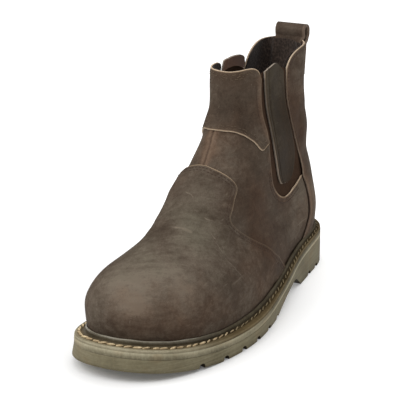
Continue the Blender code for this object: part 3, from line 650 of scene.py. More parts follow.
def leather(name, dark, mid, light, warm, cool, gloss=0.60, grain=1.0, marks=(), brushed=False):
    """Oiled pull-up leather: tone shifts by worn places and by painted light and shade, with grain, scuffs and fine
    scratches.
    """
    m = Nodes(name)
    at = m.place()
    broad = m.noise(at, 24.0, 4.0, 0.6, 0.4)
    blotch = m.noise(at, 80.0, 5.0, 0.68, 0.7)
    fleck = m.noise(at, 420.0, 3.0, 0.6)
    if brushed:
        streak = m.noise(m.scaled(m.scaled(at, (1.0, 1.0, 1.0), (0.0, 0.0, -0.5)), (240.0, 36.0, 240.0)), 1.0, 4.0, 0.7, 0.3)
    else:
        streak = m.noise(m.scaled(at, (60.0, 420.0, 420.0), (0.2, 0.5, 0.35)), 1.0, 4.0, 0.7)
    scratch = m.noise(m.scaled(at, (22.0, 520.0, 300.0), (0.7, -0.6, 0.5)), 1.0, 2.0, 0.5, 0.25)
    tone = m.attribute("tone")
    red = m.attribute("warm")
    edge = m.attribute("edge")
    # The tone attribute holds worn places together with painted highlight and painted shade.
    value = m.math("MULTIPLY_ADD", broad, 0.68, tone)
    value = m.math("MULTIPLY_ADD", blotch, 0.45 if brushed else 0.58, value)
    value = m.math("MULTIPLY_ADD", fleck, 0.26, value)
    value = m.math("MULTIPLY_ADD", streak, 0.54 if brushed else 0.34, value)
    value = m.math("MULTIPLY_ADD", m.noise(at, 1000.0, 2.0, 0.5), 0.26, value)
    value = m.math("ADD", value, -0.580 if brushed else -0.545)
    colour = m.ramp(value, ((0.15, dark), (0.5, mid), (0.95, light)))
    hue = m.math("MULTIPLY_ADD", m.noise(at, 31.0, 4.0, 0.6, 0.5), 2.2, m.math("ADD", red, -1.1))
    colour = m.mix(m.math("ADD", hue, 0.0, clamp=True), colour, m.mix(1.0, colour, (*warm, 1.0), "MULTIPLY"))
    colour = m.mix(m.math("MULTIPLY", hue, -1.0, clamp=True), colour, m.mix(1.0, colour, (*cool, 1.0), "MULTIPLY"))
    line = m.span(scratch, 0.69, 0.76, 0.0, 0.30)
    rubbed = None
    if marks:
        loose_at = m.wavering(at, 130.0, 0.004)
        for x0, y0, z0, x1, y1, z1, width, strength in marks:
            hit = m.math("MULTIPLY", m.stroke(loose_at, (x0, y0, z0), (x1, y1, z1), width), strength)
            rubbed = hit if rubbed is None else m.math("MAXIMUM", rubbed, hit)
        rubbed = m.math("MULTIPLY", rubbed, m.span(fleck, 0.30, 0.55, 0.25, 1.0))
        line = m.math("MAXIMUM", line, rubbed)
    colour = m.mix(line, colour, (light[0] * 1.30, light[1] * 1.30, light[2] * 1.30, 1.0))
    rub = m.span(edge, 0.2, 2.0, 0.22, 0.0, True)
    colour = m.mix(rub, colour, (light[0] * 1.15, light[1] * 1.05, light[2] * 0.95, 1.0))
    rim = m.math("MULTIPLY", m.span(m.math("MULTIPLY_ADD", blotch, 1.2, edge), 0.65, 1.35, 0.75, 0.0, True), m.attribute("raw"))
    colour = m.mix(rim, colour, (0.46, 0.335, 0.215, 1.0))
    pores = m.cells(at, 900.0)
    fine = m.noise(at, 1900.0, 2.0, 0.5)
    height = m.math("MULTIPLY_ADD", pores, 0.55, m.math("MULTIPLY", fine, 0.5))
    normal = m.bump(blotch, 0.28, 0.0016)
    normal = m.bump(height, 0.24 * grain, 0.00035, normal)
    normal = m.bump(streak, 0.12, 0.0006, normal)
    if rubbed is not None:
        normal = m.bump(rubbed, 0.25, 0.0004, normal)
    rough = m.span(value, 0.1, 0.9, gloss - 0.06, gloss + 0.12)
    return m.finish(colour, rough, normal, Specular_IOR_Level=0.02)


def raw_edge(name, pale, deep):
    """Cut edge of the hide: pale fibrous core."""
    m = Nodes(name)
    at = m.place()
    fibre = m.noise(at, 900.0, 3.0, 0.7)
    wide = m.noise(at, 90.0, 3.0, 0.6)
    share = m.math("MULTIPLY_ADD", wide, 0.5, m.math("MULTIPLY", fibre, 0.4))
    share = m.math("ADD", m.math("ADD", share, -0.45), m.attribute("raw"), clamp=True)
    colour = m.ramp(share, ((0.05, deep), (0.95, pale)))
    return m.finish(colour, 0.8, m.bump(fibre, 0.4, 0.0003))


def thread(name, pale, deep, patch=60.0):
    m = Nodes(name)
    at = m.place()
    ply = m.noise(at, 1500.0, 2.0, 0.6)
    wide = m.noise(at, patch, 2.0, 0.5)
    share = m.math("MULTIPLY_ADD", wide, 0.8, m.math("MULTIPLY", ply, 0.45), clamp=True)
    colour = m.ramp(share, ((0.35, deep), (0.80, pale)))
    return m.finish(colour, 0.62, m.bump(ply, 0.5, 0.0003), Specular_IOR_Level=0.15)


def rubber(name, dark, mid, light, lines=0.0):
    """Buffed sole rubber with a faint run of tool lines and scuffs."""
    m = Nodes(name)
    at = m.place()
    broad = m.noise(at, 30.0, 4.0, 0.6)
    speck = m.noise(at, 500.0, 4.0, 0.7)
    brush = m.noise(m.scaled(at, (26.0, 26.0, 900.0) if lines == 0.0 else (620.0, 620.0, 90.0)), 1.0, 4.0, 0.65, 0.3)
    value = m.math("MULTIPLY_ADD", broad, 0.55, m.math("MULTIPLY", speck, 0.35))
    value = m.math("MULTIPLY_ADD", brush, 0.55 if lines == 0.0 else 0.28, value)
    value = m.math("ADD", value, -0.22 if lines == 0.0 else -0.085)
    # Darkened by a per-vertex attribute that holds dirt together with painted shade.
    grime_and_shading = m.attribute("grime_and_shading")
    value = m.math("SUBTRACT", value, grime_and_shading)
    colour = m.ramp(value, ((0.15, dark), (0.5, mid), (0.85, light)))
    brown = m.span(m.noise(at, 45.0, 3.0, 0.6), 0.52, 0.72, 0.0, 0.7)
    colour = m.mix(brown, colour, m.mix(1.0, colour, (1.03, 0.90, 0.80, 1.0), "MULTIPLY"))
    normal = m.bump(brush, 0.25, 0.0006)
    normal = m.bump(speck, 0.25, 0.0004, normal)
    return m.finish(colour, m.span(speck, 0.2, 0.8, 0.58, 0.78), normal, Specular_IOR_Level=0.15)


def flesh_side(name, dark, light):
    """Suede back of the hide."""
    m = Nodes(name)
    at = m.place()
    nap = m.noise(at, 1300.0, 3.0, 0.7)
    wide = m.noise(at, 70.0, 4.0, 0.6)
    share = m.math("MULTIPLY_ADD", wide, 0.8, m.math("MULTIPLY", nap, 0.4), clamp=True)
    return m.finish(m.ramp(share, ((0.3, dark), (0.85, light))), 0.92, m.bump(nap, 0.5, 0.0004),
                    Sheen_Weight=0.15, Sheen_Roughness=0.4)


# Light rubs and scratches: from, to, width and strength.
MARKS = (
    # x0, y0, z0, x1, y1, z1, width, strength
    (199.0, 6.0, 102.0, 200.0, 13.0, 98.0, 0.9, 0.60),
    (200.0, 13.0, 98.0, 199.0, 18.0, 95.0, 1.0, 0.65),
    (199.0, 18.0, 95.0, 196.0, 23.0, 92.0, 0.8, 0.50),
    (205.0, 24.0, 87.0, 204.0, 33.0, 79.0, 0.8, 0.65),
    (204.0, 33.0, 79.0, 205.0, 37.0, 73.0, 0.7, 0.55),
    (207.0, 28.0, 83.0, 208.0, 36.0, 73.0, 0.7, 0.45),
    (219.0, -3.0, 92.5, 217.0, 8.0, 91.0, 1.5, 0.60),
    (217.0, 8.0, 91.0, 216.0, 14.0, 89.0, 2.2, 0.40),
    (212.0, 33.0, 76.0, 207.0, 44.0, 63.0, 0.9, 0.35),
    (207.0, 44.0, 63.0, 198.0, 51.0, 49.0, 0.9, 0.30),
    (190.0, -4.0, 110.0, 193.0, 3.0, 108.0, 0.8, 0.45),
    (194.0, 7.0, 106.0, 193.0, 13.0, 103.0, 0.8, 0.40),
    (235.0, 10.0, 82.0, 228.0, 22.0, 80.0, 1.6, 0.25),
    (246.0, 6.0, 80.0, 240.0, 20.0, 79.0, 1.8, 0.20),
    (291.0, 3.0, 60.0, 284.0, 16.0, 59.0, 3.5, 0.22),
    (296.0, -12.0, 52.0, 293.0, 6.0, 54.0, 3.0, 0.20),
    (281.0, -14.0, 68.0, 282.0, 8.0, 67.0, 3.0, 0.18),
)
PULL_UP = ((0.034, 0.0235, 0.0165), (0.066, 0.0485, 0.0355), (0.150, 0.121, 0.092))
WARM, COOL = (1.06, 0.90, 0.82), (0.93, 1.00, 0.97)
hide_vamp = leather("leather_vamp", *PULL_UP, WARM, COOL, marks=MARKS, brushed=True)
hide_quarter = leather("leather_quarter", *PULL_UP, WARM, COOL)
hide_front = leather("leather_front", *PULL_UP, WARM, COOL)
hide_back = leather("leather_back", *PULL_UP, WARM, COOL)
hide_strip = leather("leather_strip", (0.0195, 0.0140, 0.0089), (0.0340, 0.0252, 0.0170), (0.078, 0.0625, 0.0450), (1.03, 0.93, 0.86), (0.96, 1.0, 0.97), 0.56)
hide_loop = leather("leather_loop", (0.037, 0.0248, 0.0177), (0.067, 0.0482, 0.0360), (0.134, 0.106, 0.081), WARM, COOL)
cut_edge = raw_edge("leather_cut_edge", (0.54, 0.415, 0.295), (0.085, 0.052, 0.036))
cut_edge_strip = raw_edge("leather_cut_edge_strip", (0.34, 0.275, 0.215), (0.050, 0.038, 0.029))
cut_edge_loop = raw_edge("leather_cut_edge_loop", (0.26, 0.185, 0.12), (0.09, 0.058, 0.040))
flesh = flesh_side("leather_flesh", (0.055, 0.030, 0.021), (0.135, 0.078, 0.055))
# Painted light: the strips' flesh side is coloured about 2.5 times lighter than the other flesh sides, standing in for
# light on its shaded inner face.
flesh_strip_lit = flesh_side("leather_flesh_strip_lit", (0.135, 0.070, 0.046), (0.32, 0.180, 0.125))
seam_thread = thread("seam_thread", (0.112, 0.079, 0.049), (0.048, 0.032, 0.021), 140.0)
dark_thread = thread("seam_thread_dark", (0.066, 0.040, 0.028), (0.036, 0.021, 0.015))
welt_thread = thread("welt_thread", (0.72, 0.575, 0.355), (0.20, 0.120, 0.052), 190.0)
welt_thread_worn = thread("welt_thread_worn", (0.42, 0.340, 0.205), (0.13, 0.088, 0.042), 150.0)
sole_rubber = rubber("outsole_rubber_worn", (0.062, 0.052, 0.029), (0.166, 0.144, 0.087), (0.275, 0.243, 0.158))
# Painted shade: near-black rubber for the faces inside the tread slots and on the heel breast, standing in for the
# shade there.
shade_rubber = rubber("outsole_rubber_painted_shade", (0.016, 0.011, 0.007), (0.036, 0.026, 0.016), (0.070, 0.054, 0.034))
band_rubber = rubber("midsole_rubber_worn", (0.072, 0.060, 0.034), (0.270, 0.240, 0.158), (0.450, 0.410, 0.295), 0.1)


def welt_material():
    """Waxed welt: dark glossy bead, golden-brown strip, outer edge rubbed pale."""
    m = Nodes("welt_leather_waxed")
    at = m.place()
    wide = m.noise(at, 60.0, 4.0, 0.6)
    fine = m.noise(at, 700.0, 3.0, 0.6)
    value = m.math("MULTIPLY_ADD", fine, 0.4, m.math("MULTIPLY", wide, 0.7))
    # The per-vertex darkening carries painted shade in the crevice and stitch channel and a painted highlight on the
    # bead at the toe.
    value = m.math("SUBTRACT", value, m.attribute("grime_and_shading"))
    colour = m.ramp(value, ((0.1, (0.046, 0.032, 0.015)), (0.55, (0.150, 0.108, 0.052)), (0.9, (0.270, 0.210, 0.115))))
    bead = m.attribute("bead")
    dark = m.ramp(value, ((0.1, (0.040, 0.031, 0.018)), (0.55, (0.105, 0.087, 0.056)), (0.9, (0.270, 0.242, 0.182))))
    colour = m.mix(bead, colour, dark)
    rim = m.ramp(value, ((0.2, (0.125, 0.108, 0.068)), (0.55, (0.270, 0.238, 0.160)), (0.9, (0.430, 0.390, 0.285))))
    colour = m.mix(m.attribute("pale"), colour, rim)
    normal = m.bump(wide, 0.3, 0.0010)
    normal = m.bump(fine, 0.25, 0.0004, normal)
    m.feed(m.shader.inputs["Specular IOR Level"], m.span(m.attribute("shine"), 0.0, 1.0, 0.06, 0.40))
    return m.finish(colour, m.span(m.attribute("shine"), 0.0, 1.0, 0.66, 0.30), normal)


def elastic_material():
    m = Nodes("gore_elastic_rib")
    at = m.place()
    yarn = m.noise(m.scaled(at, (1500.0, 1500.0, 420.0)), 1.0, 2.0, 0.6)
    wide = m.noise(at, 70.0, 3.0, 0.6)
    rib = m.attribute("rib")
    value = m.math("MULTIPLY_ADD", yarn, 0.5, m.math("MULTIPLY_ADD", rib, 0.4, m.math("MULTIPLY", wide, 0.25)))
    colour = m.ramp(value, ((0.25, (0.0165, 0.0110, 0.0082)), (0.95, (0.071, 0.0400, 0.0240))))
    return m.finish(colour, 0.88, m.bump(yarn, 0.5, 0.0003), Specular_IOR_Level=0.04)


def lining_material():
    """Dark knitted mesh lining."""
    m = Nodes("lining_mesh")
    at = m.place()
    knit = m.cells(m.scaled(at, (1.0, 1.0, 0.8)), 620.0)
    wide = m.noise(at, 60.0, 4.0, 0.65)
    fuzz = m.noise(at, 1100.0, 3.0, 0.6)
    value = m.math("MULTIPLY_ADD", knit, 0.55, m.math("MULTIPLY_ADD", wide, 0.4, m.math("MULTIPLY", fuzz, 0.3)))
    colour = m.ramp(value, ((0.30, (0.0140, 0.0094, 0.0073)), (0.65, (0.036, 0.0246, 0.0188)), (1.0, (0.080, 0.056, 0.043))))
    normal = m.bump(knit, 0.7, 0.0007)
    normal = m.bump(fuzz, 0.5, 0.0005, normal)
    return m.finish(colour, 0.93, normal, Sheen_Weight=0.10, Sheen_Roughness=0.5, Specular_IOR_Level=0.2)


def footbed_material():
    m = Nodes("insole_fabric")
    at = m.place()
    weave = m.cells(at, 700.0)
    wide = m.noise(at, 40.0, 4.0, 0.6)
    value = m.math("MULTIPLY_ADD", weave, 0.5, m.math("MULTIPLY", wide, 0.5))
    colour = m.ramp(value, ((0.25, (0.014, 0.012, 0.011)), (0.9, (0.060, 0.052, 0.047))))
    return m.finish(colour, 0.95, m.bump(weave, 0.6, 0.0005), Sheen_Weight=0.2)


welt_skin = welt_material()
elastic = elastic_material()
lining_skin = lining_material()
footbed_skin = footbed_material()

# =============================================================== panels of the upper
# Worn places and painted light: centre on the leather, radius, how much lighter, how much redder. The lightened patches
# over the toe and lower vamp are painted highlight, and darkened patches such as the one low on the outer quarter are
# painted shade; the rest is wear and colour.
WEAR_AND_LIGHT = (
    # x, y, z, radius, tone, warm
    (291.0, 2.0, 59.0, 13.0, 0.34, 0.40),
    (288.0, 14.0, 54.0, 10.0, 0.15, 0.0),
    (284.0, -16.0, 66.0, 16.0, 0.17, -0.05),
    (280.0, 8.0, 67.0, 14.0, 0.12, -0.10),
    (257.0, 0.0, 77.0, 24.0, 0.22, -0.35),
    (262.0, 22.0, 68.0, 20.0, 0.28, -0.05),
    (262.0, 34.0, 58.0, 16.0, 0.17, 0.10),
    (272.0, 27.0, 52.0, 13.0, 0.07, 0.25),
    (272.0, -20.0, 69.0, 15.0, 0.22, -0.20),
    (290.0, -27.0, 50.0, 16.0, 0.17, 0.0),
    (287.0, 15.0, 47.0, 10.0, -0.06, 0.25),
    (240.0, 38.0, 62.0, 16.0, 0.12, 0.0),
    (208.0, 38.0, 70.0, 14.0, 0.07, 0.05),
    (217.0, 10.0, 90.0, 16.0, 0.17, -0.60),
    (208.0, 16.0, 93.0, 18.0, 0.14, -0.45),
    (222.0, 26.0, 81.0, 18.0, 0.15, -0.40),
    (190.0, 4.0, 108.0, 16.0, 0.05, -0.35),
    (178.0, 20.0, 104.0, 14.0, 0.04, 0.0),
    (166.0, 12.0, 124.0, 16.0, 0.11, 0.0),
    (225.0, -7.0, 88.0, 9.0, -0.13, -0.10),
    (296.0, -10.0, 36.0, 20.0, -0.03, 0.15),
    (284.0, 20.0, 36.0, 20.0, -0.02, 0.25),
    (262.0, 38.0, 38.0, 22.0, 0.01, 0.30),
    (228.0, 48.0, 41.0, 22.0, 0.08, 0.35),
    (193.0, 52.0, 28.0, 22.0, 0.07, 0.20),
    (246.0, 43.0, 42.0, 15.0, -0.06, 0.35),
    (205.0, -9.0, 98.0, 8.0, 0.10, -0.30),
    (50.0, 20.0, 176.0, 20.0, -0.08, 0.10),
    (194.0, 49.0, 55.0, 12.0, -0.06, 0.0),
    (165.0, 49.0, 48.0, 24.0, -0.06, 0.45),
    (142.0, 34.0, 93.0, 22.0, -0.14, 0.70),
    (112.0, 40.0, 50.0, 30.0, -0.10, 0.35),
    (152.0, 38.0, 80.0, 14.0, -0.02, 0.50),
    (134.0, 14.0, 146.0, 16.0, -0.10, 0.15),
    (64.0, 25.0, 138.0, 28.0, -0.08, 1.0),
    (78.0, 31.0, 100.0, 22.0, -0.06, 0.9),
    (74.0, 35.0, 66.0, 20.0, 0.12, -0.05),
    (60.0, 33.0, 76.0, 10.0, 0.10, -0.50),
    (40.0, 34.0, 66.0, 16.0, 0.18, 0.05),
    (152.0, 4.0, 138.0, 14.0, 0.06, 0.60),
    (158.0, -8.0, 135.0, 12.0, 0.10, 0.30),
    (119.0, 6.0, 174.0, 12.0, -0.03, -0.35),
    (118.0, 2.0, 184.0, 13.0, -0.08, 0.70),
    (120.0, 8.0, 160.0, 26.0, -0.07, 0.05),
    (30.0, 34.0, 60.0, 26.0, 0.08, 0.45),
    (164.0, 41.0, 68.0, 9.0, -0.12, 0.90),
    (150.0, 45.0, 58.0, 9.0, -0.10, 0.90),
    (125.0, -4.0, 165.0, 9.0, -0.10, 0.0),
    (110.0, 21.0, 160.0, 14.0, 0.06, 0.60),
    (47.0, 27.0, 122.0, 14.0, 0.02, 0.60),
)


# Tone and warmth at points of the leather: wear plus painted highlight and painted shade.
def wear_and_light(p):
    tone = np.zeros(p.shape[:-1])
    warm = np.zeros(p.shape[:-1])
    for x, y, z, radius, more, red in WEAR_AND_LIGHT:
        g = hump(np.linalg.norm(p - np.array((x, y, z)), axis=-1), radius)
        tone += more * g
        warm += red * g
    return tone, warm


def panel(name, grid, laps, skins, lift=0.0, thick=LEATHER, node="upper", edges=(),
          rolled=None, crease=(), turned=(), lap=LAP, raw=None):
    """Sewn panel over a grid of (q, t).

    laps are edges that stand over a neighbour, rolled is an edge turned down into a
    seam, crease holds lines where a neighbour's edge presses on this hide and paints
    shade along them, turned holds edges rubbed warm and light, and raw gives how pale
    the cut edge is at a point."""
    q, t = grid[..., 0], grid[..., 1]
    base = base_point(q, t)
    off = np.full(q.shape, float(lift))
    near = np.full(q.shape, 99.0)
    tone, warm = wear_and_light(base)
    for curve in laps:
        d = distance(base, base_point(curve[:, 0], curve[:, 1]))
        off = np.maximum(off, lift + lap * (1.0 - smooth((d - 7.0) / LAP_REACH)))
        near = np.minimum(near, d)
    for curve in edges:
        near = np.minimum(near, distance(base, base_point(curve[:, 0], curve[:, 1])))
    if rolled is not None:
        d = distance(base, base_point(rolled[:, 0], rolled[:, 1]))
        off = off + 0.38 * hump(d - 2.6, 2.2) - 0.55 * hump(d, 0.9)
        tone = tone + 0.20 * hump(d - 1.4, 1.6) - 0.08 * hump(d, 0.5)
        warm = warm + 0.8 * hump(d - 1.5, 3.2)
    for curve in crease:
        d = distance(base, base_point(curve[:, 0], curve[:, 1]))
        off = off - 0.45 * hump(d, 1.6) + 0.35 * hump(d - 5.0, 3.0)
        # Painted shade: the hide is darkened along the crease line, where the neighbour's edge shades it.
        tone = tone - 0.42 * hump(d, 1.7)
    for curve in turned:
        d = distance(base, base_point(curve[:, 0], curve[:, 1]))
        tone = tone + 0.10 * hump(d - 1.5, 2.6) - 0.05 * hump(d - 5.2, 0.9)
        warm = warm + 0.75 * hump(d - 1.5, 3.4)
    outer = skin(q, t, off)
    normal = base_normal(q, t)
    verts, faces, which, source = slab(outer, normal, thick)
    pale = np.full(q.shape, 0.6) if raw is None else raw(base) + 0.0 * q
    values = {"tone": tone.ravel()[source], "warm": warm.ravel()[source], "edge": near.ravel()[source],
              "raw": pale.ravel()[source]}
    return piece(name, verts, faces, skins, which, values, sharp=50.0, node=node)


# ---- seam curves: each side as way-round from the heel (0 to 1) and section
vamp_half = side_curve(VAMP_EDGE)
vamp_curve = drawn(np.concatenate([vamp_half, [(1.0, 7.36)], mirrored(vamp_half)[::-1]]), 321)
seam = side_curve(BACK_SEAM)
t_front = float(np.interp(COLLAR_FRONT, [base_point(1.0, 10.9)[2], base_point(1.0, 11.2)[2]], [10.9, 11.2]))
t_back = float(np.interp(194.2, [base_point(0.0, 10.9)[2], base_point(0.0, 11.2)[2]], [10.9, 11.2]))


def at_xz(*rows):
    return side_uv(np.array([x for x, z in rows]), np.array([z for x, z in rows]), 1.0)


def edges_of(side):
    """Edges round one side's elastic opening and collar."""
    rows = leaned(GORE, side)
    corner_x = rows[-1, 2]
    narrow = rows[-1, 0] / GORE[-1, 0]
    out = {"gore_front": side_uv(rows[:, 2], rows[:, 3], 1.0), "gore_back": side_uv(rows[:, 0], rows[:, 1], 1.0)}
    out["rear"] = drawn(np.concatenate([seam, out["gore_back"][3:4]]), 64)
    out["climb"] = drawn(out["gore_back"][3:], 90)
    out["u_back"] = out["gore_back"][:4][::-1]
    out["u_front"] = out["gore_front"][rows[:, 3] < 128.0]
    out["rim"] = at_xz(*[(x * narrow, z) for x, z in (BACK_EDGE if side > 0.0 else BACK_EDGE_INNER)])
    # lower edge of the front panel, drawn back with the opening
    low = side_curve(FRONT_EDGE)
    spot = base_point(low[:, 0], low[:, 1])
    fade = np.linspace(1.0, -0.6, len(low)).clip(0.0)
    if side < 0.0:
        set_back = LEAN_FRONT * smooth((spot[:, 2] - LEAN_FROM) / (COLLAR_FRONT - LEAN_FROM))
        low = side_uv(spot[:, 0] - set_back * fade, spot[:, 2], 1.0)
    out["front_low"] = low
    # collar of the front panel, with its rounded corner
    if side > 0.0:
        out["collar"] = at_xz(*COLLAR_EDGE)
    else:
        out["collar"] = at_xz((corner_x + 0.1, 184.2), (corner_x + 0.9, 186.5), (corner_x + 2.7, 188.1),
                              *[(x, COLLAR_FRONT) for x in (corner_x + 5.2, 110.0, 114.0, 117.0)])
    fine = drawn(out["gore_front"], 120)
    rise = fine[(fine[:, 1] > low[0, 1]) & (base_point(fine[:, 0], fine[:, 1])[:, 2] < (180.0 if side > 0.0 else 183.0))]
    out["front_side"] = drawn(np.concatenate([[low[0]], rise[3:-1:6], [out["collar"][0]]]), 84)
    out["above"] = at_xz((float(np.interp(140.0, rows[:, 3], rows[:, 2])) + 0.6, 140.0))
    return out


outer_side, inner_side = edges_of(1.0), edges_of(-1.0)
front_curve = drawn(np.concatenate([outer_side["front_low"], [(1.0, 8.35)], mirrored(inner_side["front_low"])[::-1]]), 221)
collar_curve = drawn(np.concatenate([outer_side["collar"], [(1.0, t_front)], mirrored(inner_side["collar"])[::-1]]), 241)


def across_heel(curve):
    """A curve of the outer side turned onto the inner side, counted back past the heel."""
    out = np.asarray(curve, float).copy()
    out[:, 0] = -out[:, 0]
    return out


# ---- vamp
bottom = np.stack([np.linspace(0.428, 1.572, 321), np.zeros(321)], axis=1)
vamp_rows = 104
left = drawn([bottom[0], vamp_curve[0]], vamp_rows, False)
right = drawn([bottom[-1], vamp_curve[-1]], vamp_rows, False)
panel("vamp", coons(bottom, vamp_curve, left, right), [vamp_curve], [hide_vamp, cut_edge, flesh], lap=1.7,
      raw=lambda p: 0.07 + 0.22 * smooth((p[..., 2] - 86.0) / 12.0) + 0.46 * smooth((p[..., 2] - 108.0) / 12.0))

# ---- quarters: a bent strip from under the back panel, under the vamp, to the front seam
SEAM_GAP = 0.0011                      # half the groove at the front seam, as way-round
centre = 1.0 - SEAM_GAP
for side, label, half in ((1.0, "lateral", outer_side), (-1.0, "medial", inner_side)):
    under_vamp = drawn(shifted(vamp_curve[:161], 8.0), 141)
    keep = under_vamp[(under_vamp[:, 1] > 0.7) & (under_vamp[:, 0] < centre - 0.01)]
    low_front = drawn(np.concatenate([half["front_low"], [(1.0, 8.35)]]), 111)
    under_front = drawn(shifted(low_front, -7.0), 111)
    top_part = under_front[(under_front[:, 0] > half["front_low"][0, 0] + 0.030) & (under_front[:, 0] < centre - 0.01)]
    behind = shifted(half["rear"], -8.0)[:-6]
    behind = drawn(np.concatenate([behind, at_xz((43.5, 83.5))]), 64)
    lower = np.concatenate([[behind[0], (0.33, 0.0), (0.38, 0.0), (0.43, 0.0)], keep[::6], [(centre, keep[-1, 1])]])
    upper_line = np.concatenate([behind[-1:], half["u_back"], half["u_front"], half["above"], top_part[6::7], [(centre, top_part[-1, 1])]])
    low_curve, high_curve = drawn(lower, 300), drawn(upper_line, 300)
    right = drawn([low_curve[-1], high_curve[-1]], 64, False)
    grid = coons(low_curve, high_curve, behind, right)
    tuck, half_u = half["rear"], half["u_front"]
    if side < 0.0:
        grid = mirrored(grid.reshape(-1, 2)).reshape(grid.shape)[:, ::-1]
        high_curve, right, tuck, half_u = mirrored(high_curve), mirrored(right), mirrored(tuck), mirrored(half_u)
    panel("quarter_" + label, grid, [], [hide_quarter, cut_edge, flesh], edges=[high_curve], rolled=right, crease=[tuck], turned=[half_u],
          raw=lambda p: 0.95 - 0.88 * smooth((p[..., 2] - 84.0) / 9.0) * (p[..., 0] > 78.0))

# ---- front shaft panel
front_left, front_right = outer_side["front_side"], mirrored(inner_side["front_side"])
panel("front_panel", coons(front_curve, resampled(collar_curve, 221), front_left, front_right), [front_curve], [hide_front, cut_edge, flesh],
      edges=[collar_curve, front_left, front_right], turned=[front_left, front_right],
      raw=lambda p: 0.10 + np.maximum(0.90 * smooth((p[..., 2] - 185.5) / 2.0), 0.62 * smooth((p[..., 0] - 113.5) / 3.0)))

# ---- back panel: its front edge runs from the collar down over the quarters
back_left = drawn(np.concatenate([outer_side["rear"], outer_side["climb"][1:]]), 150, False)
back_right = across_heel(drawn(np.concatenate([inner_side["rear"], inner_side["climb"][1:]]), 150, False))
top_half, top_other = (np.concatenate([e["climb"][-1:], e["rim"][::-1][:-1]]) for e in (outer_side, inner_side))
back_top = drawn(np.concatenate([top_half, [(0.0, t_back)], across_heel(top_other)[::-1]]), 151)
back_low = np.stack([np.linspace(back_left[0, 0], back_right[0, 0], 151), np.full(151, back_left[0, 1])], axis=1)
panel("back_panel", coons(back_low, back_top, back_left, back_right), [outer_side["rear"], across_heel(inner_side["rear"])],
      [hide_back, cut_edge, flesh], edges=[back_top, outer_side["climb"], across_heel(inner_side["climb"])],
      turned=[back_left, back_right], lap=1.5,
      raw=lambda p: 0.12 + 0.62 * smooth((p[..., 2] - 165.0) / 18.0) + 0.25 * hump(p[..., 2] - 95.0, 14.0))


# ---- lining
def lining(name, grid, low, thick=0.4):
    q, t = grid[..., 0], grid[..., 1]
    outer = skin(q, t, low)
    verts, faces, which, source = slab(outer, base_normal(q, t), thick, 0.05, 0.12)
    return piece(name, verts, faces, [lining_skin], None, None, sharp=60.0, node="upper")


lining_low = np.stack([np.linspace(back_left[0, 0], back_right[0, 0], 151), np.zeros(151)], axis=1)
lining_grid = coons(lining_low, back_top, back_left, back_right)
spot = base_point(lining_grid[..., 0], lining_grid[..., 1])
loop_y = float(base_point(0.0, LEVEL_TOP)[1]) + LOOP_ASIDE
over_leg = smooth((LOOP_WIDTH / 2.0 + 5.0 - np.abs(spot[..., 1] - loop_y)) / 4.0) * smooth((spot[..., 2] - 156.0) / 8.0)
dip = smooth((LOOP_WIDTH / 2.0 + 3.0 - np.abs(spot[..., 1] - loop_y)) / 3.0) * smooth((spot[..., 2] - 165.0) / 25.0)
lining_grid[..., 1] -= 0.10 * dip * (spot[..., 0] < 40.0)
lining("lining_back", lining_grid, -2.05 - 4.0 * over_leg)
fronts = []
for half in (outer_side, inner_side):
    upper_part = half["gore_front"][len(half["u_front"]):-1]
    fronts.append(drawn(np.concatenate([half["u_back"], half["u_front"], upper_part, half["collar"], [(1.0, t_front)]]), 151))
whole = np.concatenate([fronts[0], mirrored(fronts[1])[::-1][1:]])
floor_line = np.stack([np.linspace(seam[0, 0], 2.0 - seam[0, 0], len(whole)), np.zeros(len(whole))], axis=1)
lining("lining_front", coons(floor_line, whole, drawn(outer_side["rear"], 66), mirrored(drawn(inner_side["rear"], 66))),
       np.full((66, len(whole)), -2.05))

# ---- elastic gores
for side, label in ((1.0, "lateral"), (-1.0, "medial")):
    rows_t = np.linspace(0.0, len(GORE) - 1.0, 48)
    line = spline(leaned(GORE, side), rows_t)
    u = np.linspace(-0.05, 1.05, 261)[None, :]
    x = line[:, 0:1] + (line[:, 2:3] - line[:, 0:1]) * u
    z = line[:, 1:2] + (line[:, 3:4] - line[:, 1:2]) * u
    z[0] -= 2.2
    z[1] -= 1.1
    top = np.linspace(0.0, 1.0, 48)[:, None] ** 6
    z += top * ((-0.8 if side > 0.0 else -9.0) + 6.0 * np.sin(np.pi * np.clip(u, 0, 1)))
    uv = side_uv(x, z, side)
    rib = np.sin(2.0 * np.pi * (x - 50.0) / 1.7)
    outer = skin(uv[..., 0], uv[..., 1], -1.45 + 0.14 * rib)
    verts, faces, which, source = slab(outer, base_normal(uv[..., 0], uv[..., 1]), 0.55, 0.02, 0.1)
    piece("elastic_" + label, verts, faces, [elastic], None,
          {"rib": (0.5 + 0.5 * rib).ravel()[source]}, sharp=70.0, node="gore_" + label)

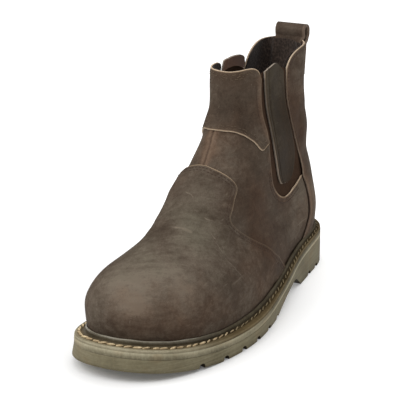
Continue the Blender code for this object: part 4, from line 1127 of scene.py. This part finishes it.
# ---- leather strips on the elastic
for side, label, peak in ((1.0, "lateral", 0.36), (-1.0, "medial", 0.16)):
    n_up, n_across = 150, 56
    line = spline(leaned(STRIP, side), np.linspace(0.0, len(STRIP) - 1.0, n_up))
    if side < 0.0:
        line[:, 0] -= 4.5 * smooth((line[:, 1] - 140.0) / 40.0)
        line[:, 2] -= 3.0 * smooth((line[:, 3] - 140.0) / 40.0)
    u = np.linspace(0.0, 1.0, n_across)[None, :]
    x = line[:, 0:1] + (line[:, 2:3] - line[:, 0:1]) * u
    lean = np.where(u < peak, u / peak, (1.0 - u) / (1.0 - peak))
    arch = 4.0 * u * (1.0 - u) * 0.45 + (1.0 - (1.0 - lean) ** 1.6) * 0.55
    crown = np.where(line[:, 4:5] > 0.0, arch, 4.0 * u * (1.0 - u))
    z = line[:, 1:2] + (line[:, 3:4] - line[:, 1:2]) * u + line[:, 4:5] * crown
    uv = side_uv(x, z, side)
    front_d = (1.0 - u) * (line[:, 2:3] - line[:, 0:1])
    back_d = u * (line[:, 2:3] - line[:, 0:1])
    off = 0.75 - 0.40 * hump(front_d - 5.2, 0.9) + 0.25 * hump(front_d - 2.4, 1.8) - 0.35 * hump(back_d - 13.0, 10.0)
    outer = skin(uv[..., 0], uv[..., 1], off)
    normal = base_normal(uv[..., 0], uv[..., 1])
    verts, faces, which, source = slab(outer, normal, 1.5)
    base = base_point(uv[..., 0], uv[..., 1])
    tone, warm = wear_and_light(base)
    # Painted shade and highlight: darker in the groove 5 mm from the front edge, lighter on the ridge beside it,
    # lighter toward the top and darker toward the bottom.
    tone = tone - 0.14 * hump(front_d - 5.2, 0.9) + 0.08 * hump(front_d - 2.4, 1.8) + 0.05 * hump(back_d - 9.0, 8.0)
    tone = tone + 0.10 * smooth((z - 140.0) / 30.0) - 0.08 * smooth((138.0 - z) / 30.0)
    warm = warm + 0.3 * hump(front_d - 1.0, 3.0) - 0.35 + 0.45 * smooth((150.0 - z) / 30.0)
    near = np.minimum(np.minimum(front_d, back_d), 99.0)
    piece("strip_" + label, verts, faces, [hide_strip, cut_edge_strip, flesh_strip_lit], which,
          {"tone": tone.ravel()[source], "warm": warm.ravel()[source], "edge": near.ravel()[source],
           "raw": ((0.22 + 0.40 * smooth((z - 180.0) / 6.0) + 0.35 * smooth((140.0 - z) / 30.0)) * (front_d < back_d + 3.0)).ravel()[source]},
          sharp=50.0, node="gore_strip_" + label)

# ---- pull loop
columns = 17
fine_t = np.linspace(LEVEL_TOP - 2.9, LEVEL_TOP, 60)
around = np.linspace(-0.34, 0.34, 121)
wall_grid = base_point(around[None, :], fine_t[:, None])
wall_normal = base_normal(around[None, :] + 0 * fine_t[:, None], fine_t[:, None] + 0 * around[None, :])
outer_skin, inner_skin, side_way = [], [], []
for i in range(columns):
    want = LOOP_ASIDE + LOOP_WIDTH * (i / (columns - 1.0) - 0.5)
    line = np.array([[np.interp(wall_grid[r, 60, 1] + want, wall_grid[r, :, 1], wall_grid[r, :, a]) for a in range(3)]
                     for r in range(len(fine_t))])
    away = np.array([[np.interp(wall_grid[r, 60, 1] + want, wall_grid[r, :, 1], wall_normal[r, :, a]) for a in range(3)]
                     for r in range(len(fine_t))])
    top_z = 194.0
    leg_z = np.linspace(top_z - LOOP_LEG, top_z - LOOP_DIP, 8)
    wall = np.array([[np.interp(z, line[:, 2], line[:, a]) for a in range(3)] for z in leg_z])
    out = np.array([[np.interp(z, line[:, 2], away[:, a]) for a in range(3)] for z in leg_z])
    out[:, 2] = 0.0
    out /= np.linalg.norm(out, axis=1)[:, None]
    half_t = LOOP_THICK / 2.0
    outside = wall + out * (GAP + half_t)
    inside = wall - out * (WALL + 2.0 * GAP + half_t)
    middle = (outside[-1] + inside[-1]) / 2.0
    b = out[-1]
    radius = np.linalg.norm(outside[-1] - inside[-1]) / 2.0
    spring = LOOP_RISE - LOOP_HALF + LOOP_DIP - 0.5
    swell = [(radius + (LOOP_HALF - radius) * np.sin(np.pi * k / 2.0), spring * k) for k in (0.2, 0.4, 0.6, 0.8)]
    arc = [(LOOP_HALF * np.cos(np.pi * k / 8.0), spring + LOOP_HALF * np.sin(np.pi * k / 8.0)) for k in range(9)]
    bow = ([(r, z, min(1.0, 1.7 * z / spring)) for r, z in swell] + [(r, z, 1.0) for r, z in arc]
           + [(-r, z, min(1.0, 1.7 * z / spring)) for r, z in swell[::-1]])
    straight = np.array([LOOP_MIDDLE, middle[1], middle[2]])
    path = [p for p in outside]
    for r, z, flat in bow:
        path.append((middle + b * r) * (1.0 - flat) + (straight - np.array([r, 0.0, 0.0])) * flat
                    + np.array([0.0, 0.0, 1.0]) * z)
    path += [p for p in inside[::-1]]
    path = np.array(path)
    run = np.concatenate([[0.0], np.cumsum(np.linalg.norm(np.diff(path, axis=0), axis=1))])
    path = spline_at(run, path, np.linspace(0.0, run[-1], 150))
    tangent = np.gradient(path, axis=0)
    tangent /= np.linalg.norm(tangent, axis=1)[:, None]
    turn = np.cross(np.cross(b, np.array([0.0, 0.0, 1.0])), tangent)
    turn /= np.linalg.norm(turn, axis=1)[:, None]
    sign = 1.0 if np.dot(turn[0], b) > 0 else -1.0
    outer_skin.append(path + turn * half_t * sign)
    inner_skin.append(turn * sign)
outer_skin = np.array(outer_skin)
loop_normal = np.array(inner_skin)
verts, faces, which, source = slab(outer_skin, loop_normal, LOOP_THICK, 0.12, 0.3)
which[which == 2] = 0
w = np.abs(np.linspace(-0.5, 0.5, columns))[:, None] + np.zeros((1, 150))
near = (0.5 - w) * LOOP_WIDTH
bend = hump(np.linspace(0.0, 1.0, 150) - 0.5, 0.09)[None, :] + np.zeros((columns, 1))
piece("pull_loop_strap", verts, faces, [hide_loop, cut_edge_loop], which,
      {"tone": (0.05 * bend).ravel()[source], "warm": (0.25 + 0 * bend).ravel()[source], "edge": near.ravel()[source],
       "raw": np.full(len(source), 0.15)},
      sharp=50.0, node="pull_loop")


# =============================================================== stitches
def stitched(name, rows, skin_mat, node):
    """Stitches as small rounded threads: centre, run, up, half length, half width, half height."""
    ball_r, ball_s = 7, 8
    theta = np.linspace(0.0, np.pi, ball_r)
    phi = np.linspace(0.0, 2 * np.pi, ball_s, endpoint=False)
    ring = [(np.cos(a), np.sin(a) * np.cos(b), np.sin(a) * np.sin(b)) for a in theta[1:-1] for b in phi]
    unit = np.array([(1.0, 0.0, 0.0)] + ring + [(-1.0, 0.0, 0.0)])
    unit[:, 0] = np.sign(unit[:, 0]) * np.abs(unit[:, 0]) ** 0.8
    faces0 = [(0, 1 + (k + 1) % ball_s, 1 + k) for k in range(ball_s)]
    for r in range(ball_r - 3):
        for k in range(ball_s):
            a = 1 + r * ball_s
            faces0.append((a + k, a + (k + 1) % ball_s, a + ball_s + (k + 1) % ball_s, a + ball_s + k))
    last = 1 + (ball_r - 3) * ball_s
    tip = len(unit) - 1
    faces0 += [(tip, last + k, last + (k + 1) % ball_s) for k in range(ball_s)]
    verts, faces = [], []
    for centre, run, up, hl, hw, hh in rows:
        across = np.cross(up, run)
        base = len(verts) * len(unit)
        verts.append(centre + unit[:, :1] * run * hl + unit[:, 1:2] * across * hw + unit[:, 2:3] * up * hh)
        faces += [tuple(base + v for v in f) for f in faces0]
    return piece(name, np.concatenate(verts), faces, [skin_mat], None, None, sharp=None, node=node)


def seam_rows_on(curve, inset, lift, pitch=3.0, long=1.15, wide=0.32, high=0.28, trim=0.0, loose_by=0.0):
    """Stitch frames along a curve of (q, t) moved inset mm over the leather."""
    line = shifted(curve, inset)
    run = lengths(line)
    count = int((run[-1] - 2 * trim) / pitch)
    number = np.arange(count)
    at = trim + (number + 0.5 + loose_by * 0.3 * np.sin(number * 2.3 + inset)) * (run[-1] - 2 * trim) / max(count, 1)
    q = np.interp(at, run, line[:, 0])
    t = np.interp(at, run, line[:, 1])
    q2 = np.interp(at + 0.6, run, line[:, 0])
    t2 = np.interp(at + 0.6, run, line[:, 1])
    q1 = np.interp(at - 0.6, run, line[:, 0])
    t1 = np.interp(at - 0.6, run, line[:, 1])
    p = skin(q, t, lift + 0.10)
    way = skin(q2, t2, lift) - skin(q1, t1, lift)
    way /= np.maximum(np.linalg.norm(way, axis=1), 1e-9)[:, None]
    up = base_normal(q, t)
    up = up - (up * way).sum(1)[:, None] * way
    up /= np.linalg.norm(up, axis=1)[:, None]
    slant = loose_by * 0.45 * np.sin(number * 1.7 + 2.0 * inset)
    across = np.cross(up, way)
    way = way * np.cos(slant)[:, None] + across * np.sin(slant)[:, None]
    p = p + across * (loose_by * 0.35 * np.sin(number * 3.1 + inset))[:, None]
    size = 1.0 + loose_by * 0.35 * np.sin(number * 4.3 + 1.0)
    return [(p[i], way[i], up[i], long * size[i], wide, high) for i in range(len(p))]


vamp_st = seam_rows_on(vamp_curve, 2.2, 1.7) + seam_rows_on(vamp_curve, 4.8, 1.7)
stitched("stitch_vamp", vamp_st, dark_thread, None)
front_st = (seam_rows_on(front_curve, -2.0, LAP, trim=1.5, loose_by=0.6)
            + seam_rows_on(front_curve, -4.4, LAP, trim=2.5, loose_by=0.6))
collar_st = []
for inset in (2.6, 4.3, 6.2):
    collar_st += seam_rows_on(collar_curve, inset, 0.0, pitch=2.5, trim=7.0 + inset, loose_by=1.0)
stitched("stitch_front", front_st + collar_st, seam_thread, None)
gore_st = []
for half, turn in ((outer_side, None), (inner_side, mirrored)):
    u_curve = drawn(np.concatenate([half["u_back"], half["u_front"]]), 160)
    rise = half["front_side"]
    if turn is not None:
        u_curve, rise = turn(u_curve)[::-1], turn(rise)[::-1]
    gore_st += seam_rows_on(u_curve, 2.2, 0.0, trim=12.0) + seam_rows_on(u_curve, 5.0, 0.0, trim=12.0)
    gore_st += seam_rows_on(rise, 5.2, 0.0, trim=8.0)
stitched("stitch_gore", gore_st, dark_thread, None)
back_st = (seam_rows_on(outer_side["climb"], -2.4, 0.0, trim=3.0)
           + seam_rows_on(across_heel(inner_side["climb"])[::-1], -2.4, 0.0, trim=3.0)
           + seam_rows_on(back_top, -3.0, 0.0, trim=4.0))
stitched("stitch_back", back_st, dark_thread, None)

# =============================================================== sole
def lifted(loop, z):
    return np.concatenate([loop, np.asarray(z)[:, None]], axis=1)


def stacked(rings):
    rings = np.asarray(rings)
    rows, cols = rings.shape[:2]
    faces = quads(rows, cols, 0, True).tolist()
    half = cols // 2
    for r in (0, rows - 1):
        base = r * cols
        for c in range(half):
            a, b = c, c + 1
            d, e = (cols - c) % cols, (cols - c - 1) % cols
            faces.append(tuple(dict.fromkeys(base + v for v in (a, b, e, d))))
    return rings.reshape(-1, 3), faces


EDGE_N = 220
edge = sole_loop(0.0, 0.0, EDGE_N)
edge_z = welt_top(edge[:, 0])
mid_top = WELT_THICK + GAP
mid_low = mid_top + MIDSOLE_THICK
out_top = mid_low + GAP
foot = sole_loop(1.0, 0.0, EDGE_N)
foot_z = tread(foot[:, 0])


ball = hump(edge[:, 0] - 220.0, 46.0) * smooth(edge[:, 1] / 25.0)      # where the outsole's foot stands out at the outer ball


def ring(out, inset, z, fuller=0.0):
    loop = sole_loop(out, inset, EDGE_N)
    return lifted(loop + fuller * ball[:, None] * (sole_loop(out, -1.0, EDGE_N) - sole_loop(out, 0.0, EDGE_N)), z)


# pale band, close under the welt
rings = [ring(0.0, 1.2, edge_z - mid_top + 0.2), ring(0.0, 0.35, edge_z - mid_top + 0.2), ring(0.0, 0.10, edge_z - mid_top + 0.06),
         ring(0.0, 0.0, edge_z - mid_top - 0.25), ring(0.0, 0.0, edge_z - mid_top - 1.1),
         ring(0.02, 0.0, edge_z - mid_top - 1.5), ring(0.04, 0.0, edge_z - mid_top - 1.9), ring(0.06, 0.0, edge_z - mid_low + 1.4),
         ring(0.1, 0.0, edge_z - mid_low + 0.5), ring(0.1, 0.06, edge_z - mid_low + 0.1), ring(0.1, 0.25, edge_z - mid_low)]
verts, faces = stacked(rings)
# toward the heel the band's upper part is dark and its lower part stays light
toward_heel = smooth((245.0 - edge[:, 0]) / 95.0)
band_rows = ((0.0, 0.35), (-0.05, 0.40), (-0.12, 0.42), (-0.14, 0.44), (-0.08, 0.42), (-0.04, 0.36), (0.03, 0.24), (0.15, -0.22),
             (0.19, -0.24), (0.20, 0.0), (0.20, 0.20))     # darkening at the toe, more at the heel
grime_and_shading = np.concatenate([base + more * toward_heel for base, more in band_rows])
piece("midsole_band", verts, faces, [band_rubber], None, {"grime_and_shading": grime_and_shading}, sharp=40.0, node="midsole")

# outsole with its lugs, rounded at the foot of the wall
shoulder_z = edge_z - out_top + 0.2
FULLER = 1.9
wall = [ring(0.12, 0.30, shoulder_z), ring(0.12, 0.10, shoulder_z - 0.12), ring(0.14, 0.0, shoulder_z - 0.4), ring(0.22, 0.0, shoulder_z - 1.1)]
for k in (0.25, 0.5, 0.75):
    wall.append(ring(0.22 + 0.78 * k, 0.0, (shoulder_z - 1.1) * (1 - k) + (foot_z + 1.2) * k, FULLER * k))
wall += [ring(1.0, 0.0, foot_z + 1.2, FULLER), ring(1.0, 0.10, foot_z + 0.6, FULLER), ring(1.0, 0.35, foot_z + 0.2, FULLER), ring(1.0, 0.8, foot_z, FULLER)]
verts, faces = stacked(wall)


def loose(name, verts, faces):
    mesh = bpy.data.meshes.new(name)
    mesh.from_pydata(((np.asarray(verts, float) - ORIGIN) * 0.001).tolist(), [], [tuple(f) for f in faces])
    work = bmesh.new()
    work.from_mesh(mesh)
    bmesh.ops.recalc_face_normals(work, faces=work.faces[:])
    work.to_mesh(mesh)
    work.free()
    obj = bpy.data.objects.new(name, mesh)
    bpy.context.scene.collection.objects.link(obj)
    return obj


def prism_y(name, outline, low, high):
    n = len(outline)
    verts = [(x, low, z) for x, z in outline] + [(x, high, z) for x, z in outline]
    faces = [tuple(range(n)), tuple(range(2 * n - 1, n - 1, -1))]
    faces += [(i, (i + 1) % n, n + (i + 1) % n, n + i) for i in range(n)]
    return loose(name, verts, faces)


ROOF = ((1.0, 0.45), (0.93, 0.66), (0.76, 0.84), (0.46, 0.96), (0.15, 1.0))


def slots(name, specs, wide=LUG_SLOT):
    """One cutter of several round-topped slots: start, direction, length, foot and depth."""
    verts, faces = [], []
    roof = [(a, k) for a, k in ROOF] + [(-a, k) for a, k in ROOF[::-1]]
    n = len(roof) + 2
    for start, direction, length, foot, depth in specs:
        direction = np.asarray(direction, float) / np.linalg.norm(direction)
        across = np.array([-direction[1], direction[0]]) * wide / 2.0
        outline = [(-1.0, -2.0), (1.0, -2.0)] + [(a, k * depth) for a, k in roof]
        base = len(verts)
        for end in (start, start + direction * length):
            verts += [(*(end + across * a), foot + up) for a, up in outline]
        faces += [tuple(base + v for v in range(n)), tuple(base + v for v in range(2 * n - 1, n - 1, -1))]
        faces += [(base + v, base + (v + 1) % n, base + n + (v + 1) % n, base + n + v) for v in range(n)]
    return loose(name, verts, faces)


def edge_slots(name, places, reach, wide=LUG_SLOT):
    specs = []
    for x in places:
        for side in (1.0, -1.0):
            s = station_at(x)
            here = sole_edge(np.array(s), side, 1.0)
            ahead = sole_edge(np.array(s + 0.01), side, 1.0) - sole_edge(np.array(s - 0.01), side, 1.0)
            inward = np.array([ahead[1], -ahead[0]]) * side
            inward /= np.linalg.norm(inward)
            z = float(tread(np.array(here[0])))
            specs.append((here - inward * 4.0, inward, reach + 4.0, z, LUG_DEPTH))
    return slots(name, specs, wide)


def bar_slots(name, places, inset):
    specs = []
    for x in places:
        s = station_at(x)
        high = sole_edge(np.array(s), 1.0, 1.0)[1] - inset
        low = sole_edge(np.array(s), -1.0, 1.0)[1] + inset
        z = float(tread(np.array(x)))
        specs.append((np.array([x, low]), (0.0, 1.0), high - low, z, LUG_DEPTH))
    return slots(name, specs)


def groove_loop(name, inset, width, first, last):
    stations = np.linspace(0.0, 1.0, 81)
    lines = {}
    for step in (inset, inset + width):
        full = sole_loop(1.0, step, 80)
        outer, inner = full[:81], np.concatenate([full[:1], full[:80:-1], full[80:81]])
        low = first + (0.0 if step == inset else width)
        high = last - (0.0 if step == inset else width)
        pick = (stations >= station_at(first + width)) & (stations <= station_at(last - width))
        a = outer[pick].copy()
        b = inner[pick].copy()
        for line in (a, b):
            line[:, 0] = np.clip(line[:, 0], low, high)
        a[0, 0] = b[0, 0] = low
        if last < SOLE_LENGTH / 2.0:
            a[-1, 0] = b[-1, 0] = high
        lines[step] = np.concatenate([a, b[::-1]])
    rim, core = lines[inset], lines[inset + width]
    base = tread(rim[:, 0]), tread(core[:, 0])
    outer = np.array([lifted(rim, base[0] - 2.0), lifted(rim, base[0] + LUG_DEPTH)])
    inner = np.array([lifted(core, base[1] - 2.0), lifted(core, base[1] + LUG_DEPTH)])
    rows, cols = outer.shape[:2]
    half = rows * cols
    faces = quads(rows, cols, 0, True).tolist() + quads(rows, cols, half, True)[:, ::-1].tolist()
    for r in (0, rows - 1):
        for c in range(cols):
            d = (c + 1) % cols
            faces.append((r * cols + c, r * cols + d, half + r * cols + d, half + r * cols + c))
    return loose(name, np.concatenate([outer.reshape(-1, 3), inner.reshape(-1, 3)]), faces)


block = loose("outsole_block", verts, faces)
cutters = [prism_y("arch_cutter", [(78.0, -6.0)] + list(ARCH) + [(158.0, -6.0)], -90.0, 90.0),
           groove_loop("fore_channel", 16.0, 4.0, 164.0, 296.0),
           groove_loop("heel_channel", 13.0, 4.0, 13.0, 70.0),
           edge_slots("fore_slots", SLOTS_FORE, 17.5),
           edge_slots("heel_slots", SLOTS_HEEL, 14.5, 6.6),
           bar_slots("fore_bars", (186.0, 207.5, 228.5, 249.5), 18.5),
           bar_slots("heel_bars", (40.0,), 15.0)]
for cutter in cutters:
    step = block.modifiers.new(cutter.name, "BOOLEAN")
    step.operation = "DIFFERENCE"
    step.solver = "EXACT"
    step.object = cutter
shaped = bpy.data.meshes.new_from_object(block.evaluated_get(bpy.context.evaluated_depsgraph_get()))
n_shaped = len(shaped.vertices)
co = np.zeros(n_shaped * 3)
shaped.vertices.foreach_get("co", co)
co = co.reshape(-1, 3) * 1000.0 + ORIGIN
out_faces = [tuple(p.vertices) for p in shaped.polygons]
for obj in [block] + cutters:
    bpy.data.objects.remove(obj, do_unlink=True)
outline = np.concatenate([foot, foot[:1]])
inside = np.array([np.min(np.hypot(outline[:, 0] - x, outline[:, 1] - y)) for x, y in co[:, :2]])
above = co[:, 2] - tread(co[:, 0])
under_band = welt_top(co[:, 0]) - out_top - co[:, 2]
# Darker near the foot of the tread and toward the heel, lighter just under the band at the fore part; the darkening
# round the waist is painted shade under the arch.
grime_and_shading = 0.14 * smooth(1.0 - above / 4.0) - 0.06 * smooth(1.0 - under_band / 4.5) * smooth((co[:, 0] - 190.0) / 50.0) + 0.10 * hump(co[:, 0] - 115.0, 40.0) + 0.09 * smooth((100.0 - co[:, 0]) / 50.0)
# Faces inside the tread slots and on the heel breast get the near-black rubber as painted shade.
shade_face = []
for f in out_faces:
    x = co[list(f), 0]
    deep = inside[list(f)].max() > 3.0 and inside[list(f)].mean() > 1.0
    in_tread = above[list(f)].max() > 0.4 and above[list(f)].max() < LUG_DEPTH + 1.0
    breast = x.min() > 76.0 and x.max() < 104.0 and np.ptp(co[list(f), 1]) > 15.0 and co[list(f), 2].max() < 14.0
    shade_face.append(1 if (deep and in_tread and not 100.0 < x.mean() < 158.0) or breast else 0)
piece("outsole_lugged", co, out_faces, [sole_rubber, shade_rubber], np.array(shade_face), {"grime_and_shading": grime_and_shading}, sharp=32.0,
      node="outsole")

# welt: flat strip, stitch channel and raised bead beside the upper
WELT_N = 230
q_ring = np.concatenate([np.linspace(0.0, 1.0, WELT_N + 1), np.linspace(1.0, 2.0, WELT_N + 1)[1:-1]])
feather = base_point(q_ring, np.zeros_like(q_ring))[:, :2]
lip = sole_loop(0.0, WELT_INSET, WELT_N)
reach = np.linalg.norm(lip - feather, axis=1)
outward = (lip - feather) / reach[:, None]
forward = np.roll(feather, -1, axis=0) - np.roll(feather, 1, axis=0)
forward /= np.linalg.norm(forward, axis=1)[:, None]
inward = np.stack([forward[:, 1], -forward[:, 0]], axis=1)
run = np.concatenate([[0.0], np.cumsum(np.linalg.norm(np.diff(lip, axis=0), axis=1))])
RIB_WIDTH, RIB_HEIGHT = 2.8, 3.9    # raised bead beside the upper
at_toe = smooth((feather[:, 0] - 215.0) / 60.0)
stitch_at = (1.0 - at_toe) * (RIB_WIDTH + 2.0) + at_toe * np.maximum((0.5 + RIB_WIDTH + reach) / 2.0 + 0.6, RIB_WIDTH + 2.2)
profile = []
for i in range(len(feather)):
    b, h, full = RIB_WIDTH, RIB_HEIGHT, reach[i]
    uneven = 1.0 + 0.05 * math.sin(run[i] / 9.0) + 0.04 * math.sin(run[i] / 3.7 + 1.3)
    section = [(-WALL, -WELT_THICK), (-WALL, 0.0), (0.3, 0.0)]
    for k in range(11):
        a = math.pi * (1.0 - k / 10.0)
        section.append((0.4 + b / 2.0 + 0.5 * b * math.cos(a), 0.25 + (h - 0.25) * uneven * max(math.sin(a), 0.0) ** 0.8))
    groove = stitch_at[i]
    for d, up in ((-1.5, 0.0), (-1.0, -0.10), (-0.5, -0.32), (0.0, -0.42), (0.5, -0.32), (1.0, -0.10), (1.5, 0.05), (2.3, 0.10)):
        section.append((min(max(groove + d, 0.7 + b + 0.06 * (d + 1.5)), full - 1.3 + 0.06 * d), up))
    section += [(full - 0.9, 0.06), (full - 0.45, -0.08), (full - 0.14, -0.32), (full, -0.75), (full, -WELT_THICK - 0.06)]
    line = []
    for d, up in section:
        p = feather[i] + (outward[i] * d if d > 0.0 else -inward[i] * d)
        line.append((p[0], p[1], float(welt_top(np.array(p[0]))) + up))
    profile.append(line)
profile = np.array(profile)
rows, cols = profile.shape[:2]
r, c = np.meshgrid(np.arange(rows), np.arange(cols), indexing="ij")
faces = np.stack([r * cols + c, r * cols + (c + 1) % cols, ((r + 1) % rows) * cols + (c + 1) % cols, ((r + 1) % rows) * cols + c], -1).reshape(-1, 4).tolist()
bead_row = np.array([1.0] * 13 + [0.8] + [0.0] * 13)
pale_side = np.array([0.0] * 23 + [0.1, 0.2, 0.1, 0.1])
pale_toe = np.array([0.0] * 19 + [0.1, 0.35, 0.6, 0.85, 1.0, 1.0, 1.0, 0.9])
pale = at_toe[:, None] * pale_toe + (1.0 - at_toe[:, None]) * pale_side
# Per-row darkening of the welt: painted shade in the crevice beside the upper and in the stitch channel, lighter at the
# outer lip, and the whole welt darker away from the toe. The next row lightens the bead's outer face at the toe as a
# painted highlight.
grime_and_shading_row = np.array([0.3, 0.3, 0.3, 0.25, 0.15] + [0.0] * 7 + [0.15, 0.2] + [0.12, 0.16, 0.2, 0.22, 0.2, 0.14, 0.06, 0.0] + [-0.02, -0.06, -0.10, -0.05, 0.1])
bead_highlight_row = np.array([0.0] * 7 + [0.06, 0.28, 0.34, 0.12] + [0.0] * 16)
piece("welt_strip", profile.reshape(-1, 3), faces, [welt_skin], None, {"grime_and_shading": (grime_and_shading_row[None, :] - bead_highlight_row[None, :] * at_toe[:, None] + 0.24 * (1.0 - at_toe[:, None])).ravel(), "bead": np.tile(bead_row, rows), "shine": (bead_row[None, :] * at_toe[:, None]).ravel(), "pale": pale.ravel()}, sharp=60.0, node="welt")

# heavy stitches round the welt
line2 = feather + outward * stitch_at[:, None]
line2 = np.concatenate([line2, line2[:1]])
run2 = np.concatenate([[0.0], np.cumsum(np.linalg.norm(np.diff(line2, axis=0), axis=1))])
pitch = 6.6
count = int(run2[-1] / pitch)
at = (np.arange(count) + 0.5) * run2[-1] / count


def on_welt(d, up):
    x = np.interp(np.mod(d, run2[-1]), run2, line2[:, 0])
    y = np.interp(np.mod(d, run2[-1]), run2, line2[:, 1])
    return np.stack([x, y, welt_top(x) + up], axis=1)


at = at + 0.5 * np.sin(np.arange(count) * 2.9)
centres = on_welt(at, 0.45)
ways = on_welt(at + 1.0, 0.3) - on_welt(at - 1.0, 0.3)
ways /= np.linalg.norm(ways, axis=1)[:, None]
rows_w = []
for i in range(count):
    up = np.array([0.0, 0.0, 1.0])
    up = up - (up @ ways[i]) * ways[i]
    up /= np.linalg.norm(up)
    across = np.cross(up, ways[i])
    tilt = 0.30 + 0.16 * math.sin(i * 2.4)
    way = ways[i] * math.cos(tilt) + across * math.sin(tilt)
    here = float(smooth((centres[i][0] - 200.0) / 70.0))
    rows_w.append((centres[i], way, up, 3.25 + 0.45 * math.sin(i * 1.7), 0.36 + 0.52 * here + 0.16 * here * math.sin(i * 3.1), 0.30 + 0.72 * here))
stitched("stitch_welt", [row for row in rows_w if row[0][0] > 222.0], welt_thread, None)
stitched("stitch_welt_side", [row for row in rows_w if row[0][0] <= 222.0], welt_thread_worn, None)

# footbed, cupped at its rim
board = feather + inward * (WALL + 2.0 * GAP)
centre_line = np.stack([board[:, 0], np.interp(board[:, 0], np.linspace(8.0, 292.0, 60),
                       [np.mean([np.interp(x, board[:WELT_N + 1, 0], board[:WELT_N + 1, 1]),
                                 np.interp(x, board[WELT_N:, 0][::-1], board[WELT_N:, 1][::-1])]) for x in np.linspace(8.0, 292.0, 60)])], axis=1)
rings = []
under = lifted(board, welt_top(board[:, 0]) - WELT_THICK)
rings.append(under)
for share, up in ((0.0, INSOLE_TOP + 1.6), (0.02, INSOLE_TOP + 1.9), (0.05, INSOLE_TOP + 1.7), (0.12, INSOLE_TOP + 0.8), (0.22, INSOLE_TOP + 0.2), (0.45, INSOLE_TOP), (0.75, INSOLE_TOP), (0.96, INSOLE_TOP)):
    p = board * (1.0 - share) + centre_line * share
    p[:, 0] = board[:, 0] + (150.0 - board[:, 0]) * share * 0.06
    rings.append(lifted(p, welt_top(p[:, 0]) + up))
verts, faces = stacked(rings)
piece("footbed", verts, faces, [footbed_skin], None, None, sharp=60.0, node="insole")

# =============================================================== stage, light, camera
floor_mesh = bpy.data.meshes.new("floor")
size = 6.0
floor_mesh.from_pydata([(-size, -size, 0.0), (size, -size, 0.0), (size, size, 0.0), (-size, size, 0.0)], [], [(0, 1, 2, 3)])
floor = bpy.data.objects.new("floor", floor_mesh)
bpy.context.scene.collection.objects.link(floor)
paper = Nodes("floor_paper")
tint = paper.noise(paper.place(), 3.0, 2.0)
floor_mesh.materials.append(paper.finish(paper.ramp(tint, ((0.0, (0.88, 0.88, 0.88)), (1.0, (0.90, 0.90, 0.90)))), 0.9,
                                         Emission_Color=(1.0, 1.0, 1.0, 1.0)))
# The floor glows like a light table and glows less near the boot: a painted soft shadow round the boot.
far = paper.vector("DISTANCE", paper.place(), (0.12, -0.07, 0.0), out="Value")
paper.feed(paper.shader.inputs["Emission Strength"], paper.span(far, 0.11, 0.31, 0.07, 0.39, True))

world = bpy.data.worlds.new("studio")
bpy.context.scene.world = world
world.use_nodes = True
world.node_tree.nodes["Background"].inputs["Color"].default_value = (1.0, 1.0, 1.0, 1.0)
world.node_tree.nodes["Background"].inputs["Strength"].default_value = 0.36


def softbox(name, place, aim, size, power):
    lamp = bpy.data.lights.new(name, "AREA")
    lamp.shape = "RECTANGLE"
    lamp.size, lamp.size_y = size
    lamp.energy = power
    obj = bpy.data.objects.new(name, lamp)
    bpy.context.scene.collection.objects.link(obj)
    obj.location = place
    way = Vector(aim) - Vector(place)
    obj.rotation_euler = way.to_track_quat("-Z", "Y").to_euler()
    return obj


softbox("key", (1.0, -0.80, 1.25), (0.05, 0.0, 0.05), (1.2, 1.2), 16.0)
softbox("top", (-0.15, 0.35, 2.0), (0.0, 0.0, 0.0), (2.8, 2.8), 38.5)

# Camera: where the photograph was taken from.
CAM_TURN, CAM_RISE, CAM_ROLL = 28.7658, 19.5142, -1.1454      # degrees
CAM_FAR, CAM_FOCAL = 1186.709, 1513.249                        # mm, pixels of a 400-pixel frame
CAM_AIM = np.array((175.677, 0.0, 99.672))
th, ph, ro = (math.radians(v) for v in (CAM_TURN, CAM_RISE, CAM_ROLL))
away = np.array((math.cos(th) * math.cos(ph), math.sin(th) * math.cos(ph), math.sin(ph)))
place = CAM_AIM + CAM_FAR * away
r = np.cross(-away, (0.0, 0.0, 1.0))
r /= np.linalg.norm(r)
u = np.cross(r, -away)
r2 = r * math.cos(ro) + u * math.sin(ro)
u2 = -r * math.sin(ro) + u * math.cos(ro)
lens = bpy.data.cameras.new("camera")
lens.sensor_width = 36.0
lens.lens = CAM_FOCAL * 36.0 / 400.0
lens.clip_start, lens.clip_end = 0.05, 50.0
camera = bpy.data.objects.new("camera", lens)
bpy.context.scene.collection.objects.link(camera)
turn = Matrix((r2, u2, away)).transposed().to_4x4()
turn.translation = Vector((place - ORIGIN) * 0.001)
camera.matrix_world = turn
bpy.context.scene.camera = camera
bpy.context.scene.view_settings.view_transform = "Standard"

bpy.context.view_layer.update()
